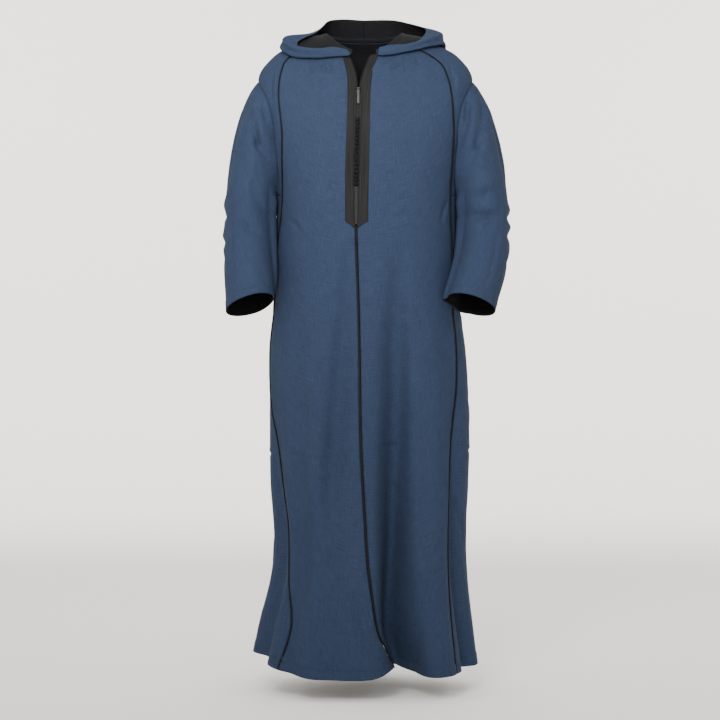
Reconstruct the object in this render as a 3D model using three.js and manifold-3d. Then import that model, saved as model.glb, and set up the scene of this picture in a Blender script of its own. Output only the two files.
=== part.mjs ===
// Djellaba robe: a long hooded Moroccan robe that keeps the hollow form it has when worn.
// Millimetres, +Z up, the front faces -Y, "left" is -X and "right" is +X.
// Origin: between the shoulders, at the base of the neck, where the wearer's shoulders carry it.
//
// The body is one surface, point(angle, drop). The angle goes round the body: 0 is the middle of
// the front, 90 the right side, 180 the middle of the back. The drop goes down the cloth from the
// neck seam to the hem. Panels are ranges of that surface, cut between seams.
import * as THREE from 'three';
import { mergeVertices } from 'three/addons/utils/BufferGeometryUtils.js';
import Module from 'manifold-3d';

const CLOTH = 2.0; // thickness of a cloth wall
const GAP = 0.3; // between pieces that touch
const SEAM_GAP = 0.4; // beside piping and braid, which curve with the cloth
const SQUARE = 2.2; // how square a level section of the body is (2 is an ellipse)
const HEM = 1390; // drop of the hem
const ARMPIT = 330; // drop of the underarm point
const GIRTH_RADIUS = 200; // turns an angle round the body into millimetres of cloth
const PIPING_WIDTH = 4.0;
const BRAID_WIDTH = 5.0;
const PIPING_PROUD = 1.0; // how far piping and braid stand out of the cloth
const PLACKET_WIDTH = 22;
const PLACKET_TIP = 2.2; // width of each half at its point
const PLACKET_THICK = 1.5;
const PLACKET_SHOULDER = 376; // drop where the placket starts to narrow
const PLACKET_POINT = 392; // drop of the placket's point
const SLIT_END = 283; // drop of the lower end of the neck slit
const SLIDER_DROP = 84; // drop of the zip slider
const TEETH_WIDTH = 2.2; // of one side of the open zip chain
const CHAIN_TOP = 4; // drop of the chain's upper end
const CHAIN_CLEAR = 12; // between the chain and the slider's middle
const KNOTS = 17;
const KNOT_TOP = 150;
const KNOT_PITCH = 9.0;
const KNOT_SIZE = { across: 11.4, tall: 8.4, deep: 5.6 };

// Level sections of the body. front, side and back are heights; half, fore and aft are the reach to
// the sides, to the front and to the back of the middle, and mid is where the middle is along X.
const SECTIONS = [
  { drop: 0, front: -10, side: 45, back: 42, half: 88, fore: 95, aft: 60, mid: 0 },
  { drop: 40, front: -48, side: 38, back: 14, half: 128, fore: 113, aft: 86, mid: 1 },
  { drop: 85, front: -95, side: 24, back: -30, half: 172, fore: 128, aft: 106, mid: 2 },
  { drop: 130, front: -140, side: 0, back: -85, half: 212, fore: 139, aft: 120, mid: 3 },
  { drop: 180, front: -190, side: -50, back: -145, half: 246, fore: 146, aft: 128, mid: 3 },
  { drop: 240, front: -250, side: -150, back: -225, half: 238, fore: 150, aft: 132, mid: 4 },
  { drop: ARMPIT, front: -340, side: -320, back: -330, half: 209, fore: 152, aft: 134, mid: 6 },
  { drop: 450, front: -460, side: -458, back: -458, half: 211, fore: 152, aft: 134, mid: 6 },
  { drop: 560, front: -570, side: -569, back: -569, half: 214, fore: 153, aft: 136, mid: 6 },
  { drop: 660, front: -670, side: -670, back: -670, half: 226, fore: 154, aft: 138, mid: 8 },
  { drop: 800, front: -810, side: -809, back: -809, half: 229, fore: 156, aft: 141, mid: 12 },
  { drop: 960, front: -970, side: -968, back: -968, half: 228, fore: 160, aft: 146, mid: 12 },
  { drop: 1080, front: -1090, side: -1087, back: -1087, half: 221, fore: 166, aft: 153, mid: 14 },
  { drop: 1180, front: -1190, side: -1185, back: -1185, half: 225, fore: 177, aft: 162, mid: 12 },
  { drop: 1290, front: -1300, side: -1290, back: -1292, half: 243, fore: 194, aft: 176, mid: 5 },
  { drop: HEM, front: -1400, side: -1388, back: -1388, half: 257, fore: 210, aft: 190, mid: 3 },
];

// The hem is not level: it rides up on the left side and beside the deep fold of the front.
const HEM_LIFTS = [
  { angle: -88, spread: 38, lift: 26 },
  { angle: 15, spread: 9, lift: 20 },
  { angle: 150, spread: 30, lift: 10 },
];
const HEM_LIFT_FROM = 1180;

// Folds that hang in the cloth: troughs have a positive depth, ridges a negative one. The angle
// goes from at through mid to to between the drops start and end. The depth grows from start to
// end with a power, and a fold with a fade dies out between the drops fade and end.
const FOLDS = [
  { start: 400, end: 1390, at: 20, mid: 12.5, to: 19, wide: 22, narrow: 29, depth: 116, power: 1.1 },
  { start: 420, fade: 860, end: 1150, at: -7, mid: -15, to: -25, wide: 20, narrow: 24, depth: 26, power: 0.5 },
  { start: 600, end: 1390, at: -30, mid: -29, to: -27, wide: 22, narrow: 30, depth: -18, power: 0.8 },
  { start: 560, end: 1390, at: -44, mid: -41, to: -37, wide: 18, narrow: 26, depth: 11, power: 0.7 },
  { start: 700, end: 1390, at: -66, mid: -64, to: -70, wide: 24, narrow: 32, depth: 28, power: 1.1 },
  { start: 560, end: 1390, at: 35, mid: 38, to: 40, wide: 22, narrow: 32, depth: -20, power: 0.8 },
  { start: 640, end: 1390, at: 52, mid: 58, to: 66, wide: 18, narrow: 26, depth: 30, power: 1.0 },
  { start: 640, end: 1390, at: -112, mid: -110, to: -112, wide: 26, narrow: 30, depth: 38, power: 1.2 },
  { start: 520, end: 1390, at: 112, mid: 116, to: 118, wide: 24, narrow: 32, depth: 44, power: 1.2 },
  { start: 380, end: 1390, at: -146, mid: -148, to: -150, wide: 26, narrow: 32, depth: 56, power: 1.2 },
  { start: 460, end: 1390, at: 150, mid: 152, to: 154, wide: 26, narrow: 30, depth: 66, power: 1.3 },
  { start: 420, end: 1390, at: 180, mid: 178, to: 176, wide: 28, narrow: 34, depth: -24, power: 0.9 },
];

// Middle of the front: the neck slit, then the seam down to the hem. x is its place along X and gap
// the half width left between the two front panels.
const CENTRE = [
  { drop: 0, x: -10.5, gap: 24 },
  { drop: 45, x: -11, gap: 8.5 },
  { drop: 80, x: -13, gap: 3.4 },
  { drop: SLIT_END, x: -18, gap: 3.4 },
  { drop: 310, x: -18, gap: 2.8 },
  { drop: 392, x: -18, gap: 2.8 },
  { drop: 606, x: -12, gap: 2.8 },
  { drop: 878, x: -7, gap: 2.8 },
  { drop: 1040, x: 2, gap: 2.8 },
  { drop: 1136, x: 8, gap: 2.8 },
  { drop: 1208, x: 18, gap: 2.8 },
  { drop: 1287, x: 31, gap: 2.8 },
  { drop: 1336, x: 50, gap: 2.8 },
  { drop: HEM, x: 68, gap: 2.8 },
];

// Angles of the seams between the front panels, the side gores and the back panel.
const SEAMS = [
  { drop: 0, frontLeft: -62, frontRight: 58, backLeft: -128, backRight: 124 },
  { drop: 110, frontLeft: -64, frontRight: 59, backLeft: -130, backRight: 126 },
  { drop: 180, frontLeft: -51, frontRight: 51, backLeft: -131, backRight: 128 },
  { drop: 240, frontLeft: -51, frontRight: 55, backLeft: -131, backRight: 126 },
  { drop: 330, frontLeft: -65, frontRight: 64, backLeft: -126, backRight: 120 },
  { drop: 450, frontLeft: -76, frontRight: 66, backLeft: -124, backRight: 116 },
  { drop: 750, frontLeft: -79, frontRight: 59, backLeft: -124, backRight: 108 },
  { drop: 870, frontLeft: -67, frontRight: 54, backLeft: -125, backRight: 104 },
  { drop: 1000, frontLeft: -60, frontRight: 52, backLeft: -126, backRight: 101 },
  { drop: 1170, frontLeft: -53, frontRight: 50, backLeft: -127, backRight: 99 },
  { drop: 1280, frontLeft: -43, frontRight: 49, backLeft: -127, backRight: 99 },
  { drop: HEM, frontLeft: -48, frontRight: 49, backLeft: -128, backRight: 99 },
];

// Right armhole, once round: turn 0 is the point of the shoulder, 90 the front, 180 the underarm.
const ARMHOLE = [
  { turn: -158, angle: 106, drop: ARMPIT },
  { turn: -130, angle: 114, drop: 296 },
  { turn: -100, angle: 119, drop: 250 },
  { turn: -60, angle: 116, drop: 212 },
  { turn: -25, angle: 103, drop: 192 },
  { turn: 0, angle: 90, drop: 186 },
  { turn: 25, angle: 78, drop: 190 },
  { turn: 60, angle: 64, drop: 201 },
  { turn: 100, angle: 60, drop: 236 },
  { turn: 130, angle: 66, drop: 292 },
  { turn: 158, angle: 76, drop: ARMPIT },
];
const UNDERARM_TURN = 158;

// Rows of a shoulder strip: its inner edge is at this drop of the seam, its outer edge at this turn
// of the armhole.
const SHOULDER_ROWS = [
  { drop: 330, turn: 158 },
  { drop: 285, turn: 128 },
  { drop: 240, turn: 104 },
  { drop: 200, turn: 80 },
  { drop: 165, turn: 62 },
  { drop: 130, turn: 46 },
  { drop: 95, turn: 33 },
  { drop: 60, turn: 22 },
  { drop: 30, turn: 13 },
  { drop: 0, turn: 6 },
];

// Sleeve sections from the elbow to the cuff. right and left are the middle along X, wide and deep
// the half sizes, pitch leans a section forward and roll lowers its outer end (degrees).
const SLEEVE = [
  { along: 0, right: 276, left: -264, y: -20, z: -370, wide: 56, deep: 88, pitch: 0, roll: 0 },
  { along: 0.5, right: 269, left: -263, y: -66, z: -470, wide: 56, deep: 76, pitch: 12, roll: 6 },
  { along: 1, right: 240, left: -256, y: -118, z: -571, wide: 56.5, deep: 62, pitch: 18, roll: 16 },
];
const SLEEVE_RINGS = { upper: 6, lower: 4 };
const SLEEVE_SIDES = 14;

// Hood, pushed back. It leaves the neck seam, lies on the robe as far as reach, rolls over with the
// height roll and comes back to its rim at x, y and z. It lies further forward on the left.
const HOOD = {
  left: [
    { angle: 16, reach: 8, roll: 6, x: -40, y: -104, z: 4 },
    { angle: 30, reach: 26, roll: 8, x: -72, y: -98, z: 10 },
    { angle: 45, reach: 58, roll: 9, x: -112, y: -86, z: 6 },
    { angle: 60, reach: 94, roll: 9, x: -147, y: -68, z: 14 },
    { angle: 75, reach: 104, roll: 10, x: -149, y: -58, z: 28 },
    { angle: 90, reach: 96, roll: 12, x: -127, y: -46, z: 42 },
    { angle: 105, reach: 98, roll: 16, x: -110, y: -20, z: 54 },
    { angle: 120, reach: 120, roll: 20, x: -98, y: 14, z: 70 },
    { angle: 138, reach: 170, roll: 22, x: -82, y: 54, z: 94 },
    { angle: 158, reach: 255, roll: 20, x: -48, y: 88, z: 104 },
    { angle: 180, reach: 345, roll: 18, x: 0, y: 104, z: 104 },
  ],
  right: [
    { angle: 16, reach: 8, roll: 6, x: 34, y: -104, z: 8 },
    { angle: 30, reach: 20, roll: 8, x: 63, y: -96, z: 15 },
    { angle: 45, reach: 38, roll: 9, x: 93, y: -80, z: 19 },
    { angle: 60, reach: 60, roll: 9, x: 119, y: -60, z: 28 },
    { angle: 75, reach: 82, roll: 10, x: 136, y: -38, z: 46 },
    { angle: 90, reach: 90, roll: 12, x: 142, y: -10, z: 64 },
    { angle: 105, reach: 97, roll: 16, x: 128, y: 24, z: 78 },
    { angle: 120, reach: 120, roll: 20, x: 102, y: 56, z: 90 },
    { angle: 138, reach: 170, roll: 22, x: 74, y: 82, z: 100 },
    { angle: 158, reach: 255, roll: 20, x: 40, y: 98, z: 104 },
    { angle: 180, reach: 345, roll: 18, x: 0, y: 104, z: 104 },
  ],
};
const HOOD_STATIONS = 13; // from the placket to the middle of the back
const HOOD_CLEAR = 7; // between the hood and the robe under it
const HOOD_STAND = 9; // how far the hood stands up at the neck seam
const HOOD_PUFF = 14; // how far its upper layer bows out

// Drops of the rows of a panel, closer together where the cloth bends most.
const DROPS = [0, 30, 60, 95, 130, 165, 200, 240, 285, 330, 376, 392, 450, 510, 580, 660, 745, 830,
  910, 985, 1055, 1120, 1180, 1235, 1285, 1325, 1360, 1390];

const radians = THREE.MathUtils.degToRad;
const clamp = THREE.MathUtils.clamp;

// A smooth curve through one column of a table, by cubic pieces.
function lookUp(table, key, column, at) {
  const last = table.length - 1;
  const x = clamp(at, table[0][key], table[last][key]);
  let row = 0;
  while (row < last - 1 && x > table[row + 1][key]) row += 1;
  const slope = (i) => {
    const a = table[Math.max(i - 1, 0)];
    const b = table[Math.min(i + 1, last)];
    return (b[column] - a[column]) / (b[key] - a[key]);
  };
  const low = table[row];
  const high = table[row + 1];
  const span = high[key] - low[key];
  const t = (x - low[key]) / span;
  const u = 1 - t;
  return low[column] * (1 + 2 * t) * u * u + high[column] * (3 - 2 * t) * t * t
    + slope(row) * span * t * u * u - slope(row + 1) * span * t * t * u;
}

const turnBetween = (a, b) => ((a - b + 540) % 360) - 180;
const signedPower = (value, power) => Math.sign(value) * Math.abs(value) ** power;

// How far the folds push the cloth in at a place on the body.
function foldDepth(angle, drop) {
  let depth = 0;
  for (const fold of FOLDS) {
    if (drop <= fold.start) continue;
    const t = (drop - fold.start) / (fold.end - fold.start);
    if (t >= 1 && fold.fade) continue;
    const s = Math.min(t, 1);
    const place = fold.at * (1 - s) * (1 - 2 * s) + fold.mid * 4 * s * (1 - s) + fold.to * s * (2 * s - 1);
    const width = fold.wide + (fold.narrow - fold.wide) * s;
    const away = radians(turnBetween(angle, place)) * GIRTH_RADIUS;
    let size = fold.depth * s ** fold.power;
    if (fold.fade) size *= 1 - THREE.MathUtils.smoothstep(drop, fold.fade, fold.end);
    depth += size * Math.exp(-(Math.abs(away / width) ** 2.4));
  }
  return depth;
}

// How far the hem rides up at this angle.
function hemLift(angle, drop) {
  const share = clamp((drop - HEM_LIFT_FROM) / (HEM - HEM_LIFT_FROM), 0, 1);
  const lifts = HEM_LIFTS.map((row) => {
    const away = turnBetween(angle, row.angle) / row.spread;
    return row.lift * Math.exp(-(away ** 2));
  });
  return share * share * lifts.reduce((sum, lift) => sum + lift, 0);
}

// A point of the body's outer surface.
function point(angle, drop) {
  const section = (column) => lookUp(SECTIONS, 'drop', column, drop);
  const sine = Math.sin(radians(angle));
  const cosine = Math.cos(radians(angle));
  const ahead = cosine > 0;
  const x = section('mid') + section('half') * signedPower(sine, 2 / SQUARE);
  const y = -section(ahead ? 'fore' : 'aft') * signedPower(cosine, 2 / SQUARE);
  const z = section('side') * sine * sine + section(ahead ? 'front' : 'back') * cosine * cosine;
  const inward = new THREE.Vector3(-(sine ** 3), cosine, 0).normalize();
  return new THREE.Vector3(x, y, z + hemLift(angle, drop)).addScaledVector(inward, foldDepth(angle, drop));
}

// The outward direction of that surface.
function outward(angle, drop) {
  const top = clamp(drop, 2, HEM - 2);
  const around = point(angle + 0.4, top).sub(point(angle - 0.4, top));
  const down = point(angle, top + 2).sub(point(angle, top - 2));
  return down.cross(around).normalize();
}

const place = (angle, drop) => ({ at: point(angle, drop), out: outward(angle, drop) });

// The angle that lies some millimetres of cloth to the right of another.
function beside(angle, drop, distance) {
  const perDegree = point(angle + 0.5, drop).distanceTo(point(angle - 0.5, drop));
  return angle + distance / perDegree;
}

// The angle on the front where the body's surface is at a place along X.
function angleAtX(x, drop) {
  const reach = (x - lookUp(SECTIONS, 'drop', 'mid', drop)) / lookUp(SECTIONS, 'drop', 'half', drop);
  return THREE.MathUtils.radToDeg(Math.asin(clamp(signedPower(reach, SQUARE / 2), -1, 1)));
}

// The middle of the front, or its left or right edge (side -1 or 1).
function centreAngle(drop, side = 0, inset = 0) {
  const x = lookUp(CENTRE, 'drop', 'x', drop);
  const gap = Math.max(lookUp(CENTRE, 'drop', 'gap', drop) - inset, 0);
  return drop > PLACKET_POINT
    ? beside(angleAtX(x, drop), drop, side * gap)
    : angleAtX(x + side * gap, drop);
}

const seamAngle = (seam, drop) => lookUp(SEAMS, 'drop', seam, drop);

// Angles between two others, spread evenly along the cloth. lead and tail are the widths of a first
// and a last strip of their own.
function evenAngles(from, to, count, drop, lead = 0, tail = 0) {
  const start = lead ? beside(from, drop, lead) : from;
  const end = tail ? beside(to, drop, -tail) : to;
  const steps = 90;
  const lengths = [0];
  for (let i = 1; i <= steps; i += 1) {
    const a = start + ((end - start) * (i - 1)) / steps;
    const b = start + ((end - start) * i) / steps;
    lengths.push(lengths[i - 1] + point(a, drop).distanceTo(point(b, drop)));
  }
  const angles = lead ? [from] : [];
  for (let column = 0, i = 0; column <= count; column += 1) {
    const goal = (lengths[steps] * column) / count;
    while (i < steps - 1 && lengths[i + 1] < goal) i += 1;
    const share = (goal - lengths[i]) / (lengths[i + 1] - lengths[i]);
    angles.push(start + ((end - start) * (i + share)) / steps);
  }
  if (tail) angles.push(to);
  return angles;
}

// A closed wall on a grid of places, from low to high along their outward directions. A ring grid
// joins its last column to its first.
function wall(grid, low, high, ring = false) {
  const rows = grid.length;
  const columns = grid[0].length;
  const positions = [];
  for (const offset of [high, low]) {
    for (const row of grid) {
      for (const { at, out } of row) positions.push(...at.clone().addScaledVector(out, offset).toArray());
    }
  }
  const index = [];
  const vertex = (layer, row, column) => (layer * rows + row) * columns + (column % columns);
  const quad = (a, b, c, d) => index.push(a, b, c, a, c, d);
  const spans = ring ? columns : columns - 1;
  for (let i = 0; i < rows - 1; i += 1) {
    for (let j = 0; j < spans; j += 1) {
      quad(vertex(0, i, j), vertex(0, i + 1, j), vertex(0, i + 1, j + 1), vertex(0, i, j + 1));
      quad(vertex(1, i, j), vertex(1, i, j + 1), vertex(1, i + 1, j + 1), vertex(1, i + 1, j));
    }
  }
  for (let j = 0; j < spans; j += 1) {
    quad(vertex(0, 0, j), vertex(0, 0, j + 1), vertex(1, 0, j + 1), vertex(1, 0, j));
    const last = rows - 1;
    quad(vertex(0, last, j + 1), vertex(0, last, j), vertex(1, last, j), vertex(1, last, j + 1));
  }
  for (let i = 0; !ring && i < rows - 1; i += 1) {
    quad(vertex(0, i + 1, 0), vertex(0, i, 0), vertex(1, i, 0), vertex(1, i + 1, 0));
    quad(vertex(0, i, spans), vertex(0, i + 1, spans), vertex(1, i + 1, spans), vertex(1, i, spans));
  }
  const geometry = new THREE.BufferGeometry();
  geometry.setAttribute('position', new THREE.Float32BufferAttribute(positions, 3));
  geometry.setIndex(index);
  return geometry;
}

const dropsBetween = (from, to) => DROPS.filter((drop) => drop >= from && drop <= to);

// A body panel between two edges, each a function that gives an angle at a drop.
function panel(drops, leftEdge, rightEdge, count, lead = 0, tail = 0) {
  const grid = drops.map((drop) => (
    evenAngles(leftEdge(drop), rightEdge(drop), count, drop, lead, tail).map((angle) => place(angle, drop))
  ));
  return wall(grid, -CLOTH, 0);
}

// The edge of a panel beside a piped seam, and a strip that fills the seam.
const besideSeam = (seam, side, width) => (drop) => (
  beside(seamAngle(seam, drop), drop, side * (width / 2 + SEAM_GAP))
);

function seamStrip(drops, angleAt, width) {
  const grid = drops.map((drop) => {
    const middle = angleAt(drop);
    return [-1, 1].map((side) => place(beside(middle, drop, (side * width) / 2), drop));
  });
  return wall(grid, -CLOTH, PIPING_PROUD);
}

// A place on an armhole. The left one mirrors the right one.
function armholePlace(turn, side) {
  const angle = side * lookUp(ARMHOLE, 'turn', 'angle', turn);
  return { angle, drop: lookUp(ARMHOLE, 'turn', 'drop', turn) };
}

// A strip over the shoulder, from the underarm in front to the underarm behind.
function shoulder(side) {
  const name = side > 0 ? 'Right' : 'Left';
  const inner = [];
  const neck = (seam) => besideSeam(seam, 0, 0)(0);
  for (const row of SHOULDER_ROWS) {
    const angle = besideSeam(`front${name}`, side, PIPING_WIDTH)(row.drop);
    inner.push({ angle, drop: row.drop, turn: row.turn });
  }
  for (const share of [0.33, 0.67]) {
    const angle = neck(`front${name}`) * (1 - share) + neck(`back${name}`) * share;
    inner.push({ angle, drop: 0, turn: 4 * (1 - 2 * share) });
  }
  for (const row of [...SHOULDER_ROWS].reverse()) {
    const angle = besideSeam(`back${name}`, -side, PIPING_WIDTH)(row.drop);
    inner.push({ angle, drop: row.drop, turn: -row.turn });
  }
  const columns = 3;
  const grid = inner.map((row) => {
    const outer = armholePlace(row.turn, side);
    return Array.from({ length: columns + 1 }, (_, column) => {
      const share = column / columns;
      return place(row.angle + (outer.angle - row.angle) * share, row.drop + (outer.drop - row.drop) * share);
    });
  });
  return wall(side < 0 ? grid : grid.map((row) => row.reverse()), -CLOTH, 0);
}

// Outward directions of a free grid of points, from its neighbours. flip turns them over.
function withDirections(points, ring, flip) {
  const rows = points.length;
  const columns = points[0].length;
  return points.map((row, i) => row.map((at, j) => {
    const next = ring ? (j + 1) % columns : Math.min(j + 1, columns - 1);
    const previous = ring ? (j + columns - 1) % columns : Math.max(j - 1, 0);
    const around = row[next].clone().sub(row[previous]);
    const along = points[Math.min(i + 1, rows - 1)][j].clone().sub(points[Math.max(i - 1, 0)][j]);
    return { at, out: along.cross(around).normalize().multiplyScalar(flip) };
  }));
}

// A point of a level or tilted section of the sleeve; turn 0 is its outer side, 90 its front.
function sleeveSection(along, turn, side) {
  const value = (column) => lookUp(SLEEVE, 'along', column, along);
  const roll = radians(value('roll'));
  const pitch = radians(value('pitch'));
  const across = new THREE.Vector3(side * Math.cos(roll), 0, -Math.sin(roll));
  const ahead = new THREE.Vector3(0, -Math.cos(pitch), Math.sin(pitch));
  return new THREE.Vector3(value(side > 0 ? 'right' : 'left'), value('y'), value('z'))
    .addScaledVector(across, value('wide') * Math.cos(radians(turn)))
    .addScaledVector(ahead, value('deep') * Math.sin(radians(turn)));
}

// The armhole's edge where the sleeve is sewn on, just clear of the body's cloth.
function armholeEdge(turn, side) {
  const folded = turnBetween(turn, 0);
  let where;
  if (Math.abs(folded) > UNDERARM_TURN) {
    const share = (180 - Math.abs(folded)) / (180 - UNDERARM_TURN);
    const front = armholePlace(UNDERARM_TURN, side);
    const back = armholePlace(-UNDERARM_TURN, side);
    const middle = (front.angle + back.angle) / 2;
    where = { angle: middle + ((folded > 0 ? front : back).angle - middle) * share, drop: ARMPIT };
  } else {
    where = armholePlace(folded, side);
  }
  return point(where.angle, where.drop).addScaledVector(outward(where.angle, where.drop), CLOTH + 2 * GAP);
}

function sleeve(side) {
  const turns = Array.from({ length: SLEEVE_SIDES }, (_, j) => (-side * j * 360) / SLEEVE_SIDES);
  const points = [];
  for (let i = 0; i <= SLEEVE_RINGS.upper; i += 1) {
    const t = i / SLEEVE_RINGS.upper;
    points.push(turns.map((turn) => {
      const top = armholeEdge(turn, side);
      const elbow = sleeveSection(0, turn, side);
      const bend = top.clone().lerp(elbow, 0.72);
      bend.z = top.z + (elbow.z - top.z) * 0.2;
      const start = top.multiplyScalar((1 - t) ** 2);
      return start.addScaledVector(bend, 2 * t * (1 - t)).addScaledVector(elbow, t * t);
    }));
  }
  for (let i = 1; i <= SLEEVE_RINGS.lower; i += 1) {
    points.push(turns.map((turn) => sleeveSection(i / SLEEVE_RINGS.lower, turn, side)));
  }
  return wall(withDirections(points, true, 1), -CLOTH, 0, true);
}

// One half of the hood, from the front of the neck to the middle of the back.
function hoodHalf(side) {
  const table = side < 0 ? HOOD.left : HOOD.right;
  const start = table[0].angle;
  const stations = Array.from({ length: HOOD_STATIONS },
    (_, i) => start + ((180 - start) * i) / (HOOD_STATIONS - 1));
  const columns = stations.map((station) => {
    const value = (column) => lookUp(table, 'angle', column, station);
    const reach = value('reach');
    const roll = value('roll');
    const angle = side * station;
    const above = (drop, height) => point(angle, drop).addScaledVector(outward(angle, drop), height);
    const seam = point(angle, 0);
    const up = new THREE.Vector3(0, 0, 1);
    const rim = new THREE.Vector3(value('x'), value('y'), value('z'));
    const over = above(reach * 0.96, HOOD_CLEAR + roll);
    const bow = new THREE.Vector3(side * Math.sin(radians(station)), -Math.cos(radians(station)), 0.6)
      .normalize().multiplyScalar(HOOD_PUFF * Math.min(reach / 80, 1));
    return [
      seam.clone().addScaledVector(up, 2 * GAP + CLOTH),
      seam.clone().addScaledVector(up, HOOD_STAND),
      ...[0.1, 0.24, 0.45, 0.72, 1].map((share) => above(reach * share, HOOD_CLEAR)),
      above(reach + roll * 0.35, HOOD_CLEAR + roll * 0.45),
      over,
      over.clone().lerp(rim, 0.35).add(bow),
      over.clone().lerp(rim, 0.7).addScaledVector(bow, 0.8),
      rim,
    ];
  });
  const last = columns.length - 1;
  columns[last].forEach((at) => { at.x += side * SEAM_GAP / 2; });
  const points = columns[0].map((_, i) => columns.map((column) => column[i]));
  if (side < 0) points.forEach((row) => row.reverse());
  const grid = withDirections(points, false, 1);
  // At the seam down the middle the cloth's thickness stays in the plane of the seam.
  grid.forEach((row) => row[side < 0 ? 0 : last].out.setX(0).normalize());
  return wall(grid, 0, CLOTH);
}

// Half of the placket: braid on the front panel's first strip, narrowing to the middle at its foot.
function placket(side) {
  const grid = dropsBetween(0, PLACKET_POINT).map((drop) => {
    const edge = centreAngle(drop, side);
    const width = drop > PLACKET_SHOULDER ? PLACKET_TIP : PLACKET_WIDTH;
    const pair = [place(edge, drop), place(beside(edge, drop, side * width), drop)];
    return side > 0 ? pair : pair.reverse();
  });
  return wall(grid, SEAM_GAP, SEAM_GAP + PLACKET_THICK);
}

// Half of the open zip chain, along the edge of the neck's V.
function openChain(side) {
  const grid = [CHAIN_TOP, 30, 60, SLIDER_DROP - CHAIN_CLEAR].map((drop) => {
    const pair = [centreAngle(drop, side, GAP), centreAngle(drop, side, GAP + TEETH_WIDTH)];
    return pair.sort((a, b) => a - b).map((angle) => place(angle, drop));
  });
  return wall(grid, -CLOTH, 0);
}

// The closed chain, from below the slider to the foot of the slit.
function closedChain() {
  const drops = [SLIDER_DROP + CHAIN_CLEAR, 130, 165, 200, 240, SLIT_END];
  const grid = drops.map((drop) => [-1, 1].map((side) => place(centreAngle(drop, side, GAP), drop)));
  return wall(grid, -CLOTH, 0);
}

// Right-handed axes at a place on the centre line: x across, y out of the cloth, z up the cloth.
function centreFrame(drop, height) {
  const angle = centreAngle(drop);
  const out = outward(angle, drop);
  const across = new THREE.Vector3(1, 0, 0);
  const up = across.clone().cross(out.clone().negate()).normalize();
  const matrix = new THREE.Matrix4().makeBasis(across, out.clone().negate(), up);
  matrix.setPosition(point(angle, drop).addScaledVector(out, height));
  return matrix;
}

function material(color, roughness, metalness = 0) {
  return new THREE.MeshStandardMaterial({ color, roughness, metalness });
}

const robe = new THREE.Group();

function add(name, geometry, look, matrix) {
  const mesh = new THREE.Mesh(geometry, look.clone());
  mesh.name = name;
  if (matrix) mesh.applyMatrix4(matrix);
  robe.add(mesh);
  return mesh;
}

const CLOTH_LOOK = material(0x3d5169, 0.85);
const BRAID_LOOK = material(0x35353a, 0.7);
const PIPING_LOOK = material(0x17181b, 0.75);
const METAL_LOOK = material(0x2b2b2d, 0.4, 0.8);
const TAB_LOOK = material(0x6d6d6b, 0.35, 0.85);

// Body panels.
const BELOW_ARM = dropsBetween(ARMPIT, HEM);
add('front_left', panel(DROPS, besideSeam('frontLeft', 1, PIPING_WIDTH), (drop) => centreAngle(drop, -1),
  10, 0, PLACKET_WIDTH), CLOTH_LOOK);
add('front_right', panel(DROPS, (drop) => centreAngle(drop, 1), besideSeam('frontRight', -1, PIPING_WIDTH),
  10, PLACKET_WIDTH), CLOTH_LOOK);
add('back', panel(DROPS, besideSeam('backRight', 1, PIPING_WIDTH),
  (drop) => besideSeam('backLeft', -1, PIPING_WIDTH)(drop) + 360, 15), CLOTH_LOOK);

// Side gores start just below the shoulder strips.
const GORE_DROPS = [ARMPIT + 2 * GAP, ...BELOW_ARM.slice(1)];
add('side_left', panel(GORE_DROPS, besideSeam('backLeft', 1, PIPING_WIDTH),
  besideSeam('frontLeft', -1, PIPING_WIDTH), 7), CLOTH_LOOK);
add('side_right', panel(GORE_DROPS, besideSeam('frontRight', 1, PIPING_WIDTH),
  besideSeam('backRight', -1, PIPING_WIDTH), 7), CLOTH_LOOK);

for (const [name, side] of [['left', -1], ['right', 1]]) {
  add(`shoulder_${name}`, shoulder(side), CLOTH_LOOK);
  add(`sleeve_${name}`, sleeve(side), CLOTH_LOOK);
  add(`hood_${name}`, hoodHalf(side), CLOTH_LOOK);
  add(`placket_${name}`, placket(side), BRAID_LOOK);
  add(`chain_${name}`, openChain(side), METAL_LOOK);
}
add('chain_closed', closedChain(), METAL_LOOK);

// Piping and braid in the seams.
const PIPED = { piping_front_left: 'frontLeft', piping_front_right: 'frontRight',
  piping_back_left: 'backLeft', piping_back_right: 'backRight' };
for (const [name, seam] of Object.entries(PIPED)) {
  add(name, seamStrip(DROPS, (drop) => seamAngle(seam, drop), PIPING_WIDTH), PIPING_LOOK);
}
const braidDrops = [SLIT_END + 2, ARMPIT, ...dropsBetween(PLACKET_SHOULDER, HEM)];
add('braid_centre', seamStrip(braidDrops, centreAngle, BRAID_WIDTH), PIPING_LOOK);

// Knots down the placket.
const KNOT_HEIGHT = GAP * 2 + PLACKET_THICK + KNOT_SIZE.deep / 2;
for (let i = 0; i < KNOTS; i += 1) {
  const knot = new THREE.SphereGeometry(0.5, 8, 5);
  knot.scale(KNOT_SIZE.across, KNOT_SIZE.deep, KNOT_SIZE.tall);
  const drop = KNOT_TOP + i * KNOT_PITCH;
  add(`knot_${String(i + 1).padStart(2, '0')}`, knot, PIPING_LOOK, centreFrame(drop, KNOT_HEIGHT));
}

// Zip slider: a plate with two lugs and a bar across them, made in its own frame.
const SLIDER = {
  wide: 10.5, tall: 13, thick: 2.6, lug: 1.4, lugTall: 4, lugPast: 1.2, between: 6.2,
  bar: 0.8, barUp: 3.1, barOut: 4.2,
};
const TAB = { wide: 5.4, long: 38, thick: 1.1, eye: 1.25, rim: 2.3 };

const wasm = await Module();
wasm.setup();

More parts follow.
